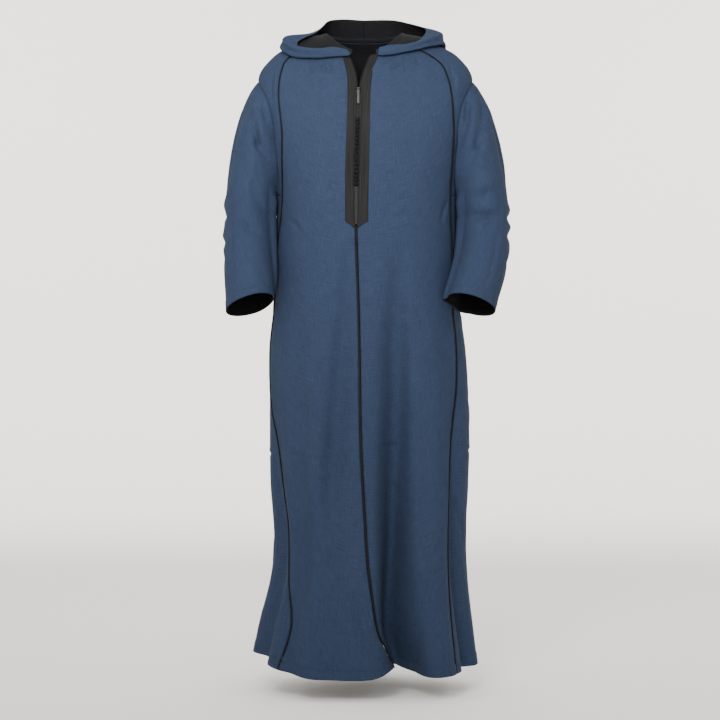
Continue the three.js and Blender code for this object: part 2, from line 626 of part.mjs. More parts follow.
function solid(geometry) {
  const merged = geometry.clone();
  merged.deleteAttribute('normal');
  merged.deleteAttribute('uv');
  const clean = mergeVertices(merged, 1e-4);
  const vertProperties = new Float32Array(clean.attributes.position.array);
  const triVerts = new Uint32Array(clean.index.array);
  return new wasm.Manifold(new wasm.Mesh({ numProp: 3, vertProperties, triVerts }));
}

function geometryOf(manifold) {
  const { vertProperties, triVerts } = manifold.getMesh();
  const geometry = new THREE.BufferGeometry();
  geometry.setAttribute('position', new THREE.Float32BufferAttribute(vertProperties, 3));
  geometry.setIndex(Array.from(triVerts));
  return geometry;
}

function slider() {
  const plate = new THREE.BoxGeometry(SLIDER.wide, SLIDER.thick, SLIDER.tall);
  const bar = new THREE.CylinderGeometry(SLIDER.bar, SLIDER.bar, SLIDER.between + SLIDER.lug, 16);
  bar.rotateZ(Math.PI / 2).translate(0, -SLIDER.barOut, SLIDER.barUp);
  let whole = solid(plate).add(solid(bar));
  for (const side of [-1, 1]) {
    const deep = SLIDER.barOut + SLIDER.lugPast;
    const lug = new THREE.BoxGeometry(SLIDER.lug, deep, SLIDER.lugTall);
    lug.translate((side * (SLIDER.between + SLIDER.lug)) / 2, -deep / 2, SLIDER.barUp);
    whole = whole.add(solid(lug));
  }
  return geometryOf(whole);
}

// The pull tab hangs from the bar: an eye round it, and a strip that lies along the placket.
function pullTab() {
  const back = TAB.rim - TAB.thick;
  const profile = new THREE.Shape();
  profile.moveTo(TAB.rim, -TAB.long + TAB.rim);
  profile.lineTo(TAB.rim, 0);
  profile.absarc(0, 0, TAB.rim, 0, Math.PI * 1.5, false);
  profile.lineTo(back, -TAB.rim);
  profile.lineTo(back, -TAB.long + TAB.rim);
  profile.closePath();
  const eye = new THREE.Path();
  eye.absarc(0, 0, TAB.eye, 0, Math.PI * 2, true);
  profile.holes.push(eye);
  const tab = new THREE.ExtrudeGeometry(profile, { depth: TAB.wide, bevelEnabled: false, curveSegments: 10 });
  tab.translate(0, 0, -TAB.wide / 2);
  // The profile's x becomes the side toward the cloth (+Y) and its y stays upright (+Z).
  tab.applyMatrix4(new THREE.Matrix4().makeBasis(
    new THREE.Vector3(0, 1, 0), new THREE.Vector3(0, 0, 1), new THREE.Vector3(1, 0, 0),
  ));
  return tab;
}

const SLIDER_HEIGHT = GAP * 2 + PLACKET_THICK + SLIDER.thick / 2;
const sliderFrame = centreFrame(SLIDER_DROP, SLIDER_HEIGHT);
add('slider', slider(), METAL_LOOK, sliderFrame);
const tabFrame = sliderFrame.clone().multiply(
  new THREE.Matrix4().makeTranslation(0, -SLIDER.barOut, SLIDER.barUp),
);
add('pull_tab', pullTab(), TAB_LOOK, tabFrame);

export default robe;
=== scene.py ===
import math

import bpy
import numpy as np
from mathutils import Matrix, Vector


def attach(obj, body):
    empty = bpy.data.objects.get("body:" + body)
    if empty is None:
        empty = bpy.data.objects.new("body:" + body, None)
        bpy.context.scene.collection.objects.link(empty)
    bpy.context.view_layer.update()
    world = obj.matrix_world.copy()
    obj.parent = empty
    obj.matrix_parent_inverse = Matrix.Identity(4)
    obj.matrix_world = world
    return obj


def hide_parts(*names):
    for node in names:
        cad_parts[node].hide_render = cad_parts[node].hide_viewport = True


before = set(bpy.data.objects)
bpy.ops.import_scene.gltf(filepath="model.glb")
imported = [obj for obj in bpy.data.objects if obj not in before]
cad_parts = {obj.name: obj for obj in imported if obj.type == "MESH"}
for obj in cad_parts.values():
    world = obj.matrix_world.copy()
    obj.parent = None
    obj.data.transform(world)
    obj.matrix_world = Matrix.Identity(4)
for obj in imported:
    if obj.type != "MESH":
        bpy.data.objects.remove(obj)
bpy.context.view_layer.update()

MM = 0.001
GARMENT = "garment"
UP = np.array([0.0, 0.0, 1.0])

SQUARE = 2.2  # how square a level section of the body is
HEM = 1390.0  # drop of the hem below the neck seam
ARMPIT = 330.0
GIRTH_RADIUS = 200.0  # turns an angle round the body into millimetres of cloth
CLOTH = 1.3  # thickness of a cloth shell
CELL = 4.3  # size of a mesh cell of the cloth
PIPING_WIDTH = 4.0
PIPING_COVER = 0.9  # how far a panel reaches under the piping of its seam
SIDE_UNDER = 4.0  # how far a side panel reaches up under the sleeve, and how far in it goes there
SIDE_IN = 2.4
HEM_TURNUP = 25.0
CUFF_TURNUP = 22.0
STITCH = (0.75, 0.5, 2.4)  # width, height and length of one stitch
STITCH_PITCH = 3.5

PLACKET_WIDTH = 22.0
PLACKET_SHOULDER = 376.0
PLACKET_POINT = 392.0
PLACKET_CORDS = 12
SLIT_END = 283.0
SLIDER_DROP = 84.0
TOOTH_PITCH = 1.5
OPEN_TOOTH = (2.4, 1.5, 0.95)
MESHED_TOOTH = (3.0, 1.5, 0.62)
TAPE = (7.6, 0.8, 6.02)  # a short length of the strip behind the meshed teeth
KNOTS = 17
KNOT_TOP = 150.0
KNOT_PITCH = 9.0
KNOT_HEIGHT = 4.6  # from the cloth to a knot's middle

UNDERARM_TURN = 158.0
SLEEVE_TURNS = 100
UPPER_RINGS = 58
LOWER_RINGS = 47
ELBOW_BEND = 0.72  # how far out the upper sleeve has gone where it turns down
HEAD_IN = 3.2  # how far the sleeve's head goes under the shoulder, inward and inboard
HEAD_INBOARD = 4.0


class Table:
    """Rows with named columns, read as smooth curves over the first column."""

    def __init__(self, columns, *rows):
        names = columns.split()
        self.columns = {name: np.array([row[i] for row in rows], float) for i, name in enumerate(names)}
        self.key = self.columns[names[0]]

    def at(self, column, where):
        x, y = self.key, self.columns[column]
        where = np.clip(np.asarray(where, float), x[0], x[-1])
        row = np.clip(np.searchsorted(x, where, side="right") - 1, 0, len(x) - 2)
        before = np.clip(np.arange(len(x)) - 1, 0, None)
        after = np.clip(np.arange(len(x)) + 1, None, len(x) - 1)
        slope = (y[after] - y[before]) / (x[after] - x[before])
        span = x[row + 1] - x[row]
        t = (where - x[row]) / span
        u = 1 - t
        return (y[row] * (1 + 2 * t) * u * u + y[row + 1] * (3 - 2 * t) * t * t
                + slope[row] * span * t * u * u - slope[row + 1] * span * t * t * u)


# Level sections of the body, as in the CAD.
SECTIONS = Table(
    "drop front side back half fore aft mid",
    (0, -10, 45, 42, 88, 95, 60, 0),
    (40, -48, 38, 14, 128, 113, 86, 1),
    (85, -95, 24, -30, 172, 128, 106, 2),
    (130, -140, 0, -85, 212, 139, 120, 3),
    (180, -190, -50, -145, 246, 146, 128, 3),
    (240, -250, -150, -225, 238, 150, 132, 4),
    (ARMPIT, -340, -320, -330, 209, 152, 134, 6),
    (450, -460, -458, -458, 211, 152, 134, 6),
    (560, -570, -569, -569, 214, 153, 136, 6),
    (660, -670, -670, -670, 226, 154, 138, 8),
    (800, -810, -809, -809, 229, 156, 141, 12),
    (960, -970, -968, -968, 228, 160, 146, 12),
    (1080, -1090, -1087, -1087, 221, 166, 153, 14),
    (1180, -1190, -1185, -1185, 225, 177, 162, 12),
    (1290, -1300, -1290, -1292, 243, 194, 176, 5),
    (HEM, -1400, -1388, -1388, 257, 210, 190, 3),
)

# Where the hem rides up: angle, spread and lift.
HEM_LIFTS = ((-88, 38, 26), (15, 9, 20), (150, 30, 10))
HEM_LIFT_FROM = 1180.0

# Hanging folds: start and end drops, fade drop or None, angles at the start, middle and end, widths
# at the start and end, depth at the end (troughs positive) and the power it grows with.
FOLDS = (
    (400, 1390, None, 20, 12.5, 19, 22, 29, 116, 1.1),
    (420, 1150, 860, -7, -15, -25, 20, 24, 26, 0.5),
    (600, 1390, None, -30, -29, -27, 22, 30, -18, 0.8),
    (560, 1390, None, -44, -41, -37, 18, 26, 11, 0.7),
    (700, 1390, None, -66, -64, -70, 24, 32, 28, 1.1),
    (560, 1390, None, 35, 38, 40, 22, 32, -20, 0.8),
    (640, 1390, None, 52, 58, 66, 18, 26, 30, 1.0),
    (640, 1390, None, -112, -110, -112, 26, 30, 38, 1.2),
    (520, 1390, None, 112, 116, 118, 24, 32, 44, 1.2),
    (380, 1390, None, -146, -148, -150, 26, 32, 56, 1.2),
    (460, 1390, None, 150, 152, 154, 26, 30, 66, 1.3),
    (420, 1390, None, 180, 178, 176, 28, 34, -24, 0.9),
)

# The deep fold of the front, the first of them, slides under its left edge by a share of its depth.
TUCK = 0.4
TUCK_FROM = 900.0
FOLD_SHARPNESS = 2.4

# The middle of the front: its place along X and the half width left open there.
CENTRE = Table(
    "drop x gap",
    (0, -10.5, 24), (45, -11, 8.5), (80, -13, 3.4), (SLIT_END, -18, 3.4), (310, -18, 2.8), (392, -18, 2.8),
    (606, -12, 2.8), (878, -7, 2.8), (1040, 2, 2.8), (1136, 8, 2.8), (1208, 18, 2.8), (1287, 31, 2.8),
    (1336, 50, 2.8), (HEM, 68, 2.8),
)

# Angles of the side-front and side-back seams.
SEAMS = Table(
    "drop front_left front_right back_left back_right",
    (0, -62, 58, -128, 124),
    (110, -64, 59, -130, 126),
    (180, -51, 51, -131, 128),
    (240, -51, 55, -131, 126),
    (330, -65, 64, -126, 120),
    (450, -76, 66, -124, 116),
    (750, -79, 59, -124, 108),
    (870, -67, 54, -125, 104),
    (1000, -60, 52, -126, 101),
    (1170, -53, 50, -127, 99),
    (1280, -43, 49, -127, 99),
    (HEM, -48, 49, -128, 99),
)

# The edge of the armhole, by the turn round it from its top.
ARMHOLE = Table(
    "turn angle drop",
    (-158, 106, ARMPIT), (-130, 114, 296), (-100, 119, 250), (-60, 116, 212), (-25, 103, 192), (0, 90, 186),
    (25, 78, 190), (60, 64, 201), (100, 60, 236), (130, 66, 292), (158, 76, ARMPIT),
)

# Rows of a shoulder strip: how far down the seam it is, and the turn of the armhole it leads to.
SHOULDER_ROWS = Table(
    "drop turn",
    (0, 6), (30, 13), (60, 22), (95, 33), (130, 46), (165, 62), (200, 80), (240, 104), (285, 128), (330, 158),
)

# Sections of the sleeve from the elbow to the cuff: where its middle is, its half width and half
# depth, and how it tilts forward and rolls inward in degrees.
SLEEVE = Table(
    "along right left y z wide deep pitch roll",
    (0, 276, -264, -20, -370, 56, 88, 0, 0),
    (0.5, 269, -263, -66, -470, 56, 76, 12, 6),
    (1, 240, -256, -118, -571, 56.5, 62, 18, 16),
)

# The two halves of the hood, by the angle round the neck: how far down the robe it lies, how thick
# its rolled edge is, and where the edge of its mouth is.
HOODS = {
    -1: Table(
        "angle reach roll x y z",
        (16, 8, 6, -40, -104, 4),
        (30, 26, 8, -72, -98, 10),
        (45, 58, 9, -112, -86, 6),
        (60, 94, 9, -147, -68, 14),
        (75, 104, 10, -149, -58, 28),
        (90, 96, 12, -127, -46, 42),
        (105, 98, 16, -110, -20, 54),
        (120, 120, 20, -98, 14, 70),
        (138, 170, 22, -82, 54, 94),
        (158, 255, 20, -48, 88, 104),
        (180, 345, 18, 0, 104, 104),
    ),
    1: Table(
        "angle reach roll x y z",
        (16, 8, 6, 34, -104, 8),
        (30, 20, 8, 63, -96, 15),
        (45, 38, 9, 93, -80, 19),
        (60, 60, 9, 119, -60, 28),
        (75, 82, 10, 136, -38, 46),
        (90, 90, 12, 142, -10, 64),
        (105, 97, 16, 128, 24, 78),
        (120, 120, 20, 102, 56, 90),
        (138, 170, 22, 74, 82, 100),
        (158, 255, 20, 40, 98, 104),
        (180, 345, 18, 0, 104, 104),
    ),
}
HOOD_CLEAR = 7.0  # above the robe
HOOD_STAND = 9.0  # above the neck seam
HOOD_PUFF = 14.0  # how far the cloth bows out between the roll and the mouth
HOOD_STATIONS = 84
HOOD_ROWS = 96

# Creases as a viewer sees them from one side: from (x, z) to (x, z), width, depth before the gain
# (troughs positive) and how far the line bows. Seen from the front or the back x is X; from the left
# or the right it is Y.
CREASE_GAIN = 2.6
CREASES = {
    "front": (
        (-116, -29, -121, -52, 5, 2.2, 2), (-94, -22, -83, -54, 5, 2.4, -2),
        (-83, -22, -66, -50, 4, 1.6, 2), (123, -7, 119, -30, 5, 2.0, 1), (94, -7, 58, -46, 5, 2.2, 3),
        (80, -22, 60, -44, 4, 1.2, -2), (-205, -34, -208, -112, 6, 3.4, -4),
        (196, -31, 199, -98, 6, 3.0, 3), (69, -344, 100, -335, 5, 1.1, 2),
        (64, -377, 106, -364, 6, 1.3, -3), (70, -408, 103, -395, 5, 0.9, 2),
        (-60, -300, -88, -330, 8, 1.0, 3), (194, -328, 174, -386, 5, 2.2, -3),
        (-172, -376, -141, -408, 5, 1.6, 3), (-188, -908, -112, -914, 4, 1.3, 2),
        (-124, -914, -60, -911, 4, 1.0, -2), (-66, -911, -12, -914, 3, 0.7, 1),
        (4, -896, 84, -886, 4, 1.2, 2), (84, -888, 150, -898, 4, 0.6, -3),
        (150, -898, 198, -892, 4, 1.3, 2), (165, -968, 191, -990, 5, 1.4, 3),
        (196, -997, 222, -1126, 6, 2.6, 7), (-200, -905, -187, -1010, 6, 2.4, -5),
        (-150, -640, -118, -700, 9, 1.0, 6), (120, -560, 150, -640, 9, 1.2, -6),
        (-100, -820, -140, -880, 8, 0.9, 4), (40, -960, 84, -1010, 8, 1.2, 5),
        (-40, -1100, -86, -1180, 9, 1.3, -7), (150, -1160, 118, -1260, 9, 1.6, 6),
        (-130, -1240, -104, -1340, 9, 1.8, 5), (-20, -1230, -2, -1330, 10, 1.8, -5),
    ),
    "back": (
        (-120, -420, 40, -450, 12, 1.6, 10), (-60, -520, 110, -505, 12, 1.5, -12),
        (90, -420, 150, -480, 10, 1.4, 6), (-170, -910, -60, -915, 4, 1.2, 2),
        (-50, -914, 60, -908, 4, 1.0, -2), (70, -908, 180, -912, 4, 1.2, 2),
        (-120, -700, -70, -800, 10, 1.5, 6), (60, -760, 110, -840, 10, 1.4, -6),
        (0, -1010, 44, -1110, 10, 1.5, 7), (-110, -1120, -130, -1240, 10, 1.8, 6),
        (130, -1100, 110, -1230, 10, 1.7, -6),
    ),
    "left": (
        (-60, -912, 60, -910, 4, 1.1, 2), (-30, -620, 40, -560, 10, 1.5, 5),
        (-10, -760, 50, -850, 10, 1.6, -6), (20, -1040, -30, -1150, 10, 1.8, 6),
        (70, -1180, 50, -1300, 9, 1.8, 5),
    ),
    "right": (
        (-70, -894, 70, -908, 4, 1.1, -2), (40, -600, -30, -560, 10, 1.4, 5),
        (20, -740, -40, -830, 10, 1.5, 6), (-10, -1030, 40, -1150, 10, 1.8, -6),
        (80, -1160, 60, -1290, 9, 1.7, 5),
    ),
}

# The same for the sleeves, for the sides where their cloth drags from the shoulder and bends at
# the elbow.
SLEEVE_CREASES = {
    "front": (
        (-266, -88, -256, -150, 9, 6.0, -5), (-256, -148, -214, -240, 10, 7.0, -8),
        (-236, -118, -218, -158, 6, 2.2, 2), (-252, -290, -208, -370, 12, 4.5, -8),
        (-304, -392, -212, -426, 11, 4.0, 10), (-296, -300, -292, -520, 5, 2.2, -5),
        (-240, -470, -216, -520, 9, 2.5, 4), (-282, -200, -276, -330, 12, 2.4, 6),
        (262, -76, 268, -170, 9, 5.5, 6), (266, -168, 232, -250, 10, 5.0, 6),
        (238, -92, 206, -228, 9, 4.5, 6), (246, -336, 298, -318, 9, 3.4, 5),
        (238, -366, 304, -366, 9, 4.2, -6), (255, -404, 294, -394, 8, 3.0, 4),
        (303, -290, 303, -386, 5, 2.0, 2), (302, -386, 268, -534, 5, 2.0, 5),
        (224, -430, 208, -505, 8, 3.2, -4),
    ),
    "back": (
        (-262, -110, -226, -250, 12, 4.5, 8), (-300, -250, -236, -330, 12, 3.5, 8),
        (-300, -360, -228, -390, 11, 3.5, -6), (-285, -430, -236, -480, 10, 3.0, 5),
        (262, -110, 226, -250, 12, 4.5, -8), (300, -240, 240, -320, 12, 3.5, -8),
        (302, -350, 236, -395, 11, 3.5, 6), (290, -440, 240, -480, 10, 3.0, -5),
    ),
    "left": (
        (-40, -120, -60, -300, 12, 2.6, 8), (40, -140, 60, -330, 12, 2.8, -8),
        (-70, -380, 60, -350, 11, 3.5, 8), (-80, -430, 40, -420, 10, 3.0, -6),
        (-110, -500, -30, -440, 9, 2.0, 5),
    ),
    "right": (
        (-40, -120, -56, -290, 12, 2.6, 8), (44, -140, 60, -330, 12, 2.8, -8),
        (-72, -370, 62, -360, 11, 3.5, -8), (-84, -420, 40, -410, 10, 3.0, 6),
        (-112, -510, -34, -450, 9, 2.0, 5),
    ),
}

VIEWS = {  # which way each side faces, and which coordinate runs across it
    "front": (np.array([0.0, -1.0, 0.0]), 0),
    "back": (np.array([0.0, 1.0, 0.0]), 0),
    "left": (np.array([-1.0, 0.0, 0.0]), 1),
    "right": (np.array([1.0, 0.0, 0.0]), 1),
}


# ---------------------------------------------------------------- form

def signed_power(value, power):
    """A power that keeps the sign."""
    return np.sign(value) * np.abs(value) ** power


def between(a, b):
    """The turn from b to a, from -180 to 180 degrees."""
    return (a - b + 540.0) % 360.0 - 180.0


def smooth_step(x, low, high):
    """Rises smoothly from 0 at low to 1 at high."""
    t = np.clip((x - low) / (high - low), 0, 1)
    return t * t * (3 - 2 * t)


def fold_depth(angle, drop, folds=FOLDS):
    """How far the hanging folds push the cloth in."""
    depth = np.zeros(np.broadcast(angle, drop).shape)
    for start, end, fade, at, mid, to, wide, narrow, size, power in folds:
        s = np.clip((drop - start) / (end - start), 0, 1)
        place = at * (1 - s) * (1 - 2 * s) + mid * 4 * s * (1 - s) + to * s * (2 * s - 1)
        width = wide + (narrow - wide) * s
        away = np.radians(between(angle, place)) * GIRTH_RADIUS
        grown = size * s ** power
        if fade:
            grown = grown * (1 - smooth_step(drop, fade, end))
        depth = depth + grown * np.exp(-np.abs(away / width) ** FOLD_SHARPNESS)
    return depth


def body(angle, drop):
    """Points of the robe's outer surface, as in the CAD."""
    angle, drop = np.broadcast_arrays(np.asarray(angle, float), np.asarray(drop, float))
    section = {name: SECTIONS.at(name, drop) for name in SECTIONS.columns if name != "drop"}
    sine, cosine = np.sin(np.radians(angle)), np.cos(np.radians(angle))
    ahead = cosine > 0
    x = section["mid"] + section["half"] * signed_power(sine, 2 / SQUARE)
    y = -np.where(ahead, section["fore"], section["aft"]) * signed_power(cosine, 2 / SQUARE)
    z = section["side"] * sine ** 2 + np.where(ahead, section["front"], section["back"]) * cosine ** 2
    share = np.clip((drop - HEM_LIFT_FROM) / (HEM - HEM_LIFT_FROM), 0, 1) ** 2
    for centre, spread, lift in HEM_LIFTS:
        z = z + share * lift * np.exp(-(between(angle, centre) / spread) ** 2)
    inward = np.stack([-sine ** 3, cosine], -1)
    inward /= np.linalg.norm(inward, axis=-1, keepdims=True)
    depth = fold_depth(angle, drop)
    seam_angle = angle_at_x(CENTRE.at("x", drop), drop)
    past_seam = np.maximum(fold_depth(angle, drop, FOLDS[:1]) - fold_depth(seam_angle, drop, FOLDS[:1]), 0)
    tuck = TUCK * past_seam * np.clip((drop - TUCK_FROM) / (HEM - TUCK_FROM), 0, 1)
    return np.stack([x + inward[..., 0] * depth - tuck, y + inward[..., 1] * depth, z], -1)


def unit(vectors):
    return vectors / np.maximum(np.linalg.norm(vectors, axis=-1, keepdims=True), 1e-9)


def outward(angle, drop):
    """Outward directions of that surface."""
    turn, step = 0.4, 2
    level = np.clip(drop, step, HEM - step)
    around = body(angle + turn, level) - body(angle - turn, level)
    down = body(angle, level + step) - body(angle, level - step)
    return unit(np.cross(down, around))


def beside(angle, drop, distance):
    """The angle some millimetres of cloth to the right of another."""
    per_degree = np.linalg.norm(body(angle + 0.5, drop) - body(angle - 0.5, drop), axis=-1)
    return angle + distance / per_degree


def angle_at_x(x, drop):
    """The angle at which the front of a level section has a given x, its folds left out."""
    reach = (x - SECTIONS.at("mid", drop)) / SECTIONS.at("half", drop)
    return np.degrees(np.arcsin(np.clip(signed_power(reach, SQUARE / 2), -1, 1)))


def centre_angle(drop, side=0, inset=0.0):
    """The middle of the front, or with a side of -1 or 1 the edge of the opening on that side."""
    x, gap = CENTRE.at("x", drop), np.maximum(CENTRE.at("gap", drop) - inset, 0)
    below = beside(angle_at_x(x, drop), drop, side * gap)
    return np.where(drop > PLACKET_POINT, below, angle_at_x(x + side * gap, drop))


def lengths_along(points, axis):
    """Running length of the cloth along one axis of a grid of points."""
    steps = np.linalg.norm(np.diff(points, axis=axis), axis=-1)
    pad = [(0, 0), (0, 0)]
    pad[axis] = (1, 0)
    return np.cumsum(np.pad(steps, pad), axis=axis)


def even_angles(start, end, drops, count):
    """Angles from start to end at each drop, spread evenly along the cloth."""
    fine = 260
    share = np.linspace(0, 1, fine)
    angles = start[:, None] + (end - start)[:, None] * share
    run = lengths_along(body(angles, drops[:, None]), 1)
    goals = np.linspace(0, 1, count)
    return np.stack([np.interp(goals * r[-1], r, a) for r, a in zip(run, angles)])


def directions(points, ring=False):
    """Outward directions of a grid whose rows run down and whose columns run to the right."""
    if ring:
        padded = np.concatenate([points[:, -1:], points, points[:, :1]], 1)
        around = padded[:, 2:] - padded[:, :-2]
    else:
        around = np.gradient(points, axis=1)
    return unit(np.cross(np.gradient(points, axis=0), around))


class Noise:
    """Soft seeded noise from -1 to 1 over two coordinates, with cells of a given size."""

    def __init__(self, seed, cells=97):
        self.grid = np.random.default_rng(seed).uniform(-1, 1, (cells, cells))
        self.cells = cells

    def at(self, u, v, size_u, size_v):
        a, b = np.asarray(u) / size_u + 500.0, np.asarray(v) / size_v + 500.0
        i, j = np.floor(a).astype(int), np.floor(b).astype(int)
        s, t = a - i, b - j
        s, t = s * s * (3 - 2 * s), t * t * (3 - 2 * t)
        n = self.cells

        def corner(di, dj):
            return self.grid[(i + di) % n, (j + dj) % n]

        low = corner(0, 0) * (1 - s) + corner(1, 0) * s
        high = corner(0, 1) * (1 - s) + corner(1, 1) * s
        return low * (1 - t) + high * t


def crease_field(points, normals, table):
    """How far creases push each point out, from their lines as seen from each side."""
    shift = np.zeros(points.shape[:-1])
    barely, fully = 0.05, 0.4  # how squarely cloth has to face a side for its creases
    shares = {view: np.clip((normals @ VIEWS[view][0] - barely) / (fully - barely), 0, 1) for view in table}
    total = np.maximum(sum(shares.values()), 1)
    for view, rows in table.items():
        across = VIEWS[view][1]
        weight = shares[view] / total
        for x0, z0, x1, z1, width, depth, bow in rows:
            along = np.array([x1 - x0, z1 - z0], float)
            length = np.hypot(*along)
            along /= length
            dx, dz = points[..., across] - x0, points[..., 2] - z0
            t = np.clip((dx * along[0] + dz * along[1]) / length, -0.25, 1.25)
            off = dz * along[0] - dx * along[1] - bow * 4 * t * (1 - t)
            taper = np.sin(np.pi * np.clip(t, 0, 1)) ** 0.6
            trough = np.exp(-(off / width) ** 2) - 0.45 * np.exp(-((off - 1.9 * width) / (1.3 * width)) ** 2)
            shift -= weight * depth * taper * trough
    return shift


# ---------------------------------------------------------------- mesh making

def new_mesh(name, vertices, faces, uvs=None, face_slots=None, materials=(), smooth=True):
    """A mesh object from millimetre points. uvs are per vertex, in metres of cloth."""
    mesh = bpy.data.meshes.new(name)
    mesh.from_pydata((np.asarray(vertices, float) * MM).tolist(), [], faces)
    if uvs is not None:
        layer = mesh.uv_layers.new(name="UVMap")
        loops = np.zeros(len(mesh.loops), int)
        mesh.loops.foreach_get("vertex_index", loops)
        layer.data.foreach_set("uv", (np.asarray(uvs, float) * MM)[loops].ravel())
    for look in materials:
        mesh.materials.append(look)
    if face_slots is not None:
        mesh.polygons.foreach_set("material_index", np.asarray(face_slots, int))
    mesh.polygons.foreach_set("use_smooth", np.full(len(mesh.polygons), smooth))
    mesh.update()
    piece = bpy.data.objects.new(name, mesh)
    bpy.context.scene.collection.objects.link(piece)
    return piece


def shell(name, outer, inner, uv, materials, ring=False):
    """A closed thin shell between two grids of points. Its inner side has the second material."""
    rows, columns = outer.shape[:2]
    vertices = np.concatenate([outer.reshape(-1, 3), inner.reshape(-1, 3)])
    index = np.arange(rows * columns).reshape(rows, columns)
    if ring:
        index = np.concatenate([index, index[:, :1]], 1)
    a, b, c, d = index[:-1, :-1], index[1:, :-1], index[1:, 1:], index[:-1, 1:]
    front = np.stack([a, b, c, d], -1).reshape(-1, 4)
    back = np.stack([a, d, c, b], -1).reshape(-1, 4) + rows * columns
    far = rows * columns

    def edge(line):
        return np.stack([line[:-1], line[1:], line[1:] + far, line[:-1] + far], -1)

    rims = [edge(index[0]), edge(index[-1][::-1])]
    if not ring:
        rims += [edge(index[::-1, 0]), edge(index[:, -1])]
    rims = np.concatenate(rims)
    faces = np.concatenate([front, back, rims])
    slots = np.concatenate([np.zeros(len(front)), np.ones(len(back)), np.zeros(len(rims))])
    uvs = np.concatenate([uv.reshape(-1, 2), uv.reshape(-1, 2)])
    return new_mesh(name, vertices, faces.tolist(), uvs, slots, materials)


def tube(path, across, up, half_width, half_height, sides, closed=False):
    """A cord of an oval section along a path, with its own directions across and up at each point."""
    turns = np.linspace(0, 2 * np.pi, sides, endpoint=False)
    ring = (np.cos(turns)[None, :, None] * half_width * across[:, None]
            + np.sin(turns)[None, :, None] * half_height * up[:, None])
    points = path[:, None] + ring
    rows = len(path)
    index = np.arange(rows * sides).reshape(rows, sides)
    index = np.concatenate([index, index[:, :1]], 1)
    if closed:
        index = np.concatenate([index, index[:1]], 0)
    a, b, c, d = index[:-1, :-1], index[1:, :-1], index[1:, 1:], index[:-1, 1:]
    faces = np.stack([a, d, c, b], -1).reshape(-1, 4).tolist()
    if not closed:
        faces += [index[0, :-1].tolist(), index[-1, :-1][::-1].tolist()]
    run = np.concatenate([[0], np.cumsum(np.linalg.norm(np.diff(path, axis=0), axis=1))])
    uv = np.stack(np.broadcast_arrays(turns[None, :] * half_width, run[:, None]), -1).reshape(-1, 2)
    return points.reshape(-1, 3), faces, uv


def join_parts(name, parts, look, smooth=True):
    """One mesh object from (vertices, faces, uvs) parts."""
    vertices, faces, uvs, count = [], [], [], 0
    for v, f, uv in parts:
        vertices.append(np.asarray(v))
        faces += [[i + count for i in face] for face in f]
        uvs.append(np.asarray(uv))
        count += len(v)
    return new_mesh(name, np.concatenate(vertices), faces, np.concatenate(uvs), materials=(look,),
                    smooth=smooth)


def dress(piece, slot, *nodes):
    """Fixes a piece to the garment and hides the CAD nodes it stands for."""
    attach(piece, GARMENT)
    if nodes:
        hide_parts(*nodes)


# ---------------------------------------------------------------- materials

class Look:
    """A small helper to build a node material."""

    def __init__(self, name):
        self.material = bpy.data.materials.new(name)
        self.material.use_nodes = True
        self.nodes = self.material.node_tree.nodes
        self.links = self.material.node_tree.links
        self.shader = self.nodes["Principled BSDF"]

    def node(self, kind, **settings):
        node = self.nodes.new(kind)
        for key, value in settings.items():
            setattr(node, key, value)
        return node

    def feed(self, socket, value):
        if isinstance(value, bpy.types.NodeSocket):
            self.links.new(value, socket)
        else:
            socket.default_value = value

    def set(self, **values):
        for key, value in values.items():
            self.feed(self.shader.inputs[key.replace("_", " ")], value)

    def uv(self, scale_u=1.0, scale_v=1.0, turn=0.0):
        place = self.node("ShaderNodeMapping")
        place.inputs["Scale"].default_value = (scale_u, scale_v, 1)
        place.inputs["Rotation"].default_value = (0, 0, math.radians(turn))
        self.links.new(self.node("ShaderNodeTexCoord").outputs["UV"], place.inputs["Vector"])
        return place.outputs["Vector"]

    def noise(self, vector, scale=1.0, detail=2.0, rough=0.5):
        node = self.node("ShaderNodeTexNoise")
        self.feed(node.inputs["Vector"], vector)
        node.inputs["Scale"].default_value = scale
        node.inputs["Detail"].default_value = detail
        node.inputs["Roughness"].default_value = rough
        return node.outputs["Fac"]

    def wave(self, vector, scale, direction="X", distortion=0.0):
        node = self.node("ShaderNodeTexWave", bands_direction=direction)
        self.feed(node.inputs["Vector"], vector)
        node.inputs["Scale"].default_value = scale
        node.inputs["Distortion"].default_value = distortion
        return node.outputs["Fac"]

    def math(self, operation, a, b=0.0):
        node = self.node("ShaderNodeMath", operation=operation)
        self.feed(node.inputs[0], a)
        self.feed(node.inputs[1], b)
        return node.outputs[0]

    def ramp(self, fac, *stops):
        node = self.node("ShaderNodeValToRGB")
        self.feed(node.inputs["Fac"], fac)
        elements = node.color_ramp.elements
        while len(elements) < len(stops):
            elements.new(0.5)
        for element, (position, color) in zip(elements, stops):
            element.position = position
            element.color = (*color, 1)
        return node.outputs["Color"]

    def tint(self, color, other):
        node = self.node("ShaderNodeMix", data_type="RGBA", blend_type="MULTIPLY")
        self.feed(node.inputs[0], 1.0)
        self.feed(node.inputs[6], color)
        self.feed(node.inputs[7], other)
        return node.outputs[2]

    def blend(self, *parts):
        """A sum of values, each with its own weight."""
        total = None
        for value, weight in parts:
            part = self.math("MULTIPLY", value, weight)
            total = part if total is None else self.math("ADD", total, part)
        return total

    def bump(self, height, strength, distance):
        node = self.node("ShaderNodeBump")
        self.feed(node.inputs["Height"], height)
        node.inputs["Strength"].default_value = strength
        node.inputs["Distance"].default_value = distance
        self.links.new(node.outputs["Normal"], self.shader.inputs["Normal"])


WAVE_BANDS = 6.28  # how many bands a wave texture has for each unit of its scale


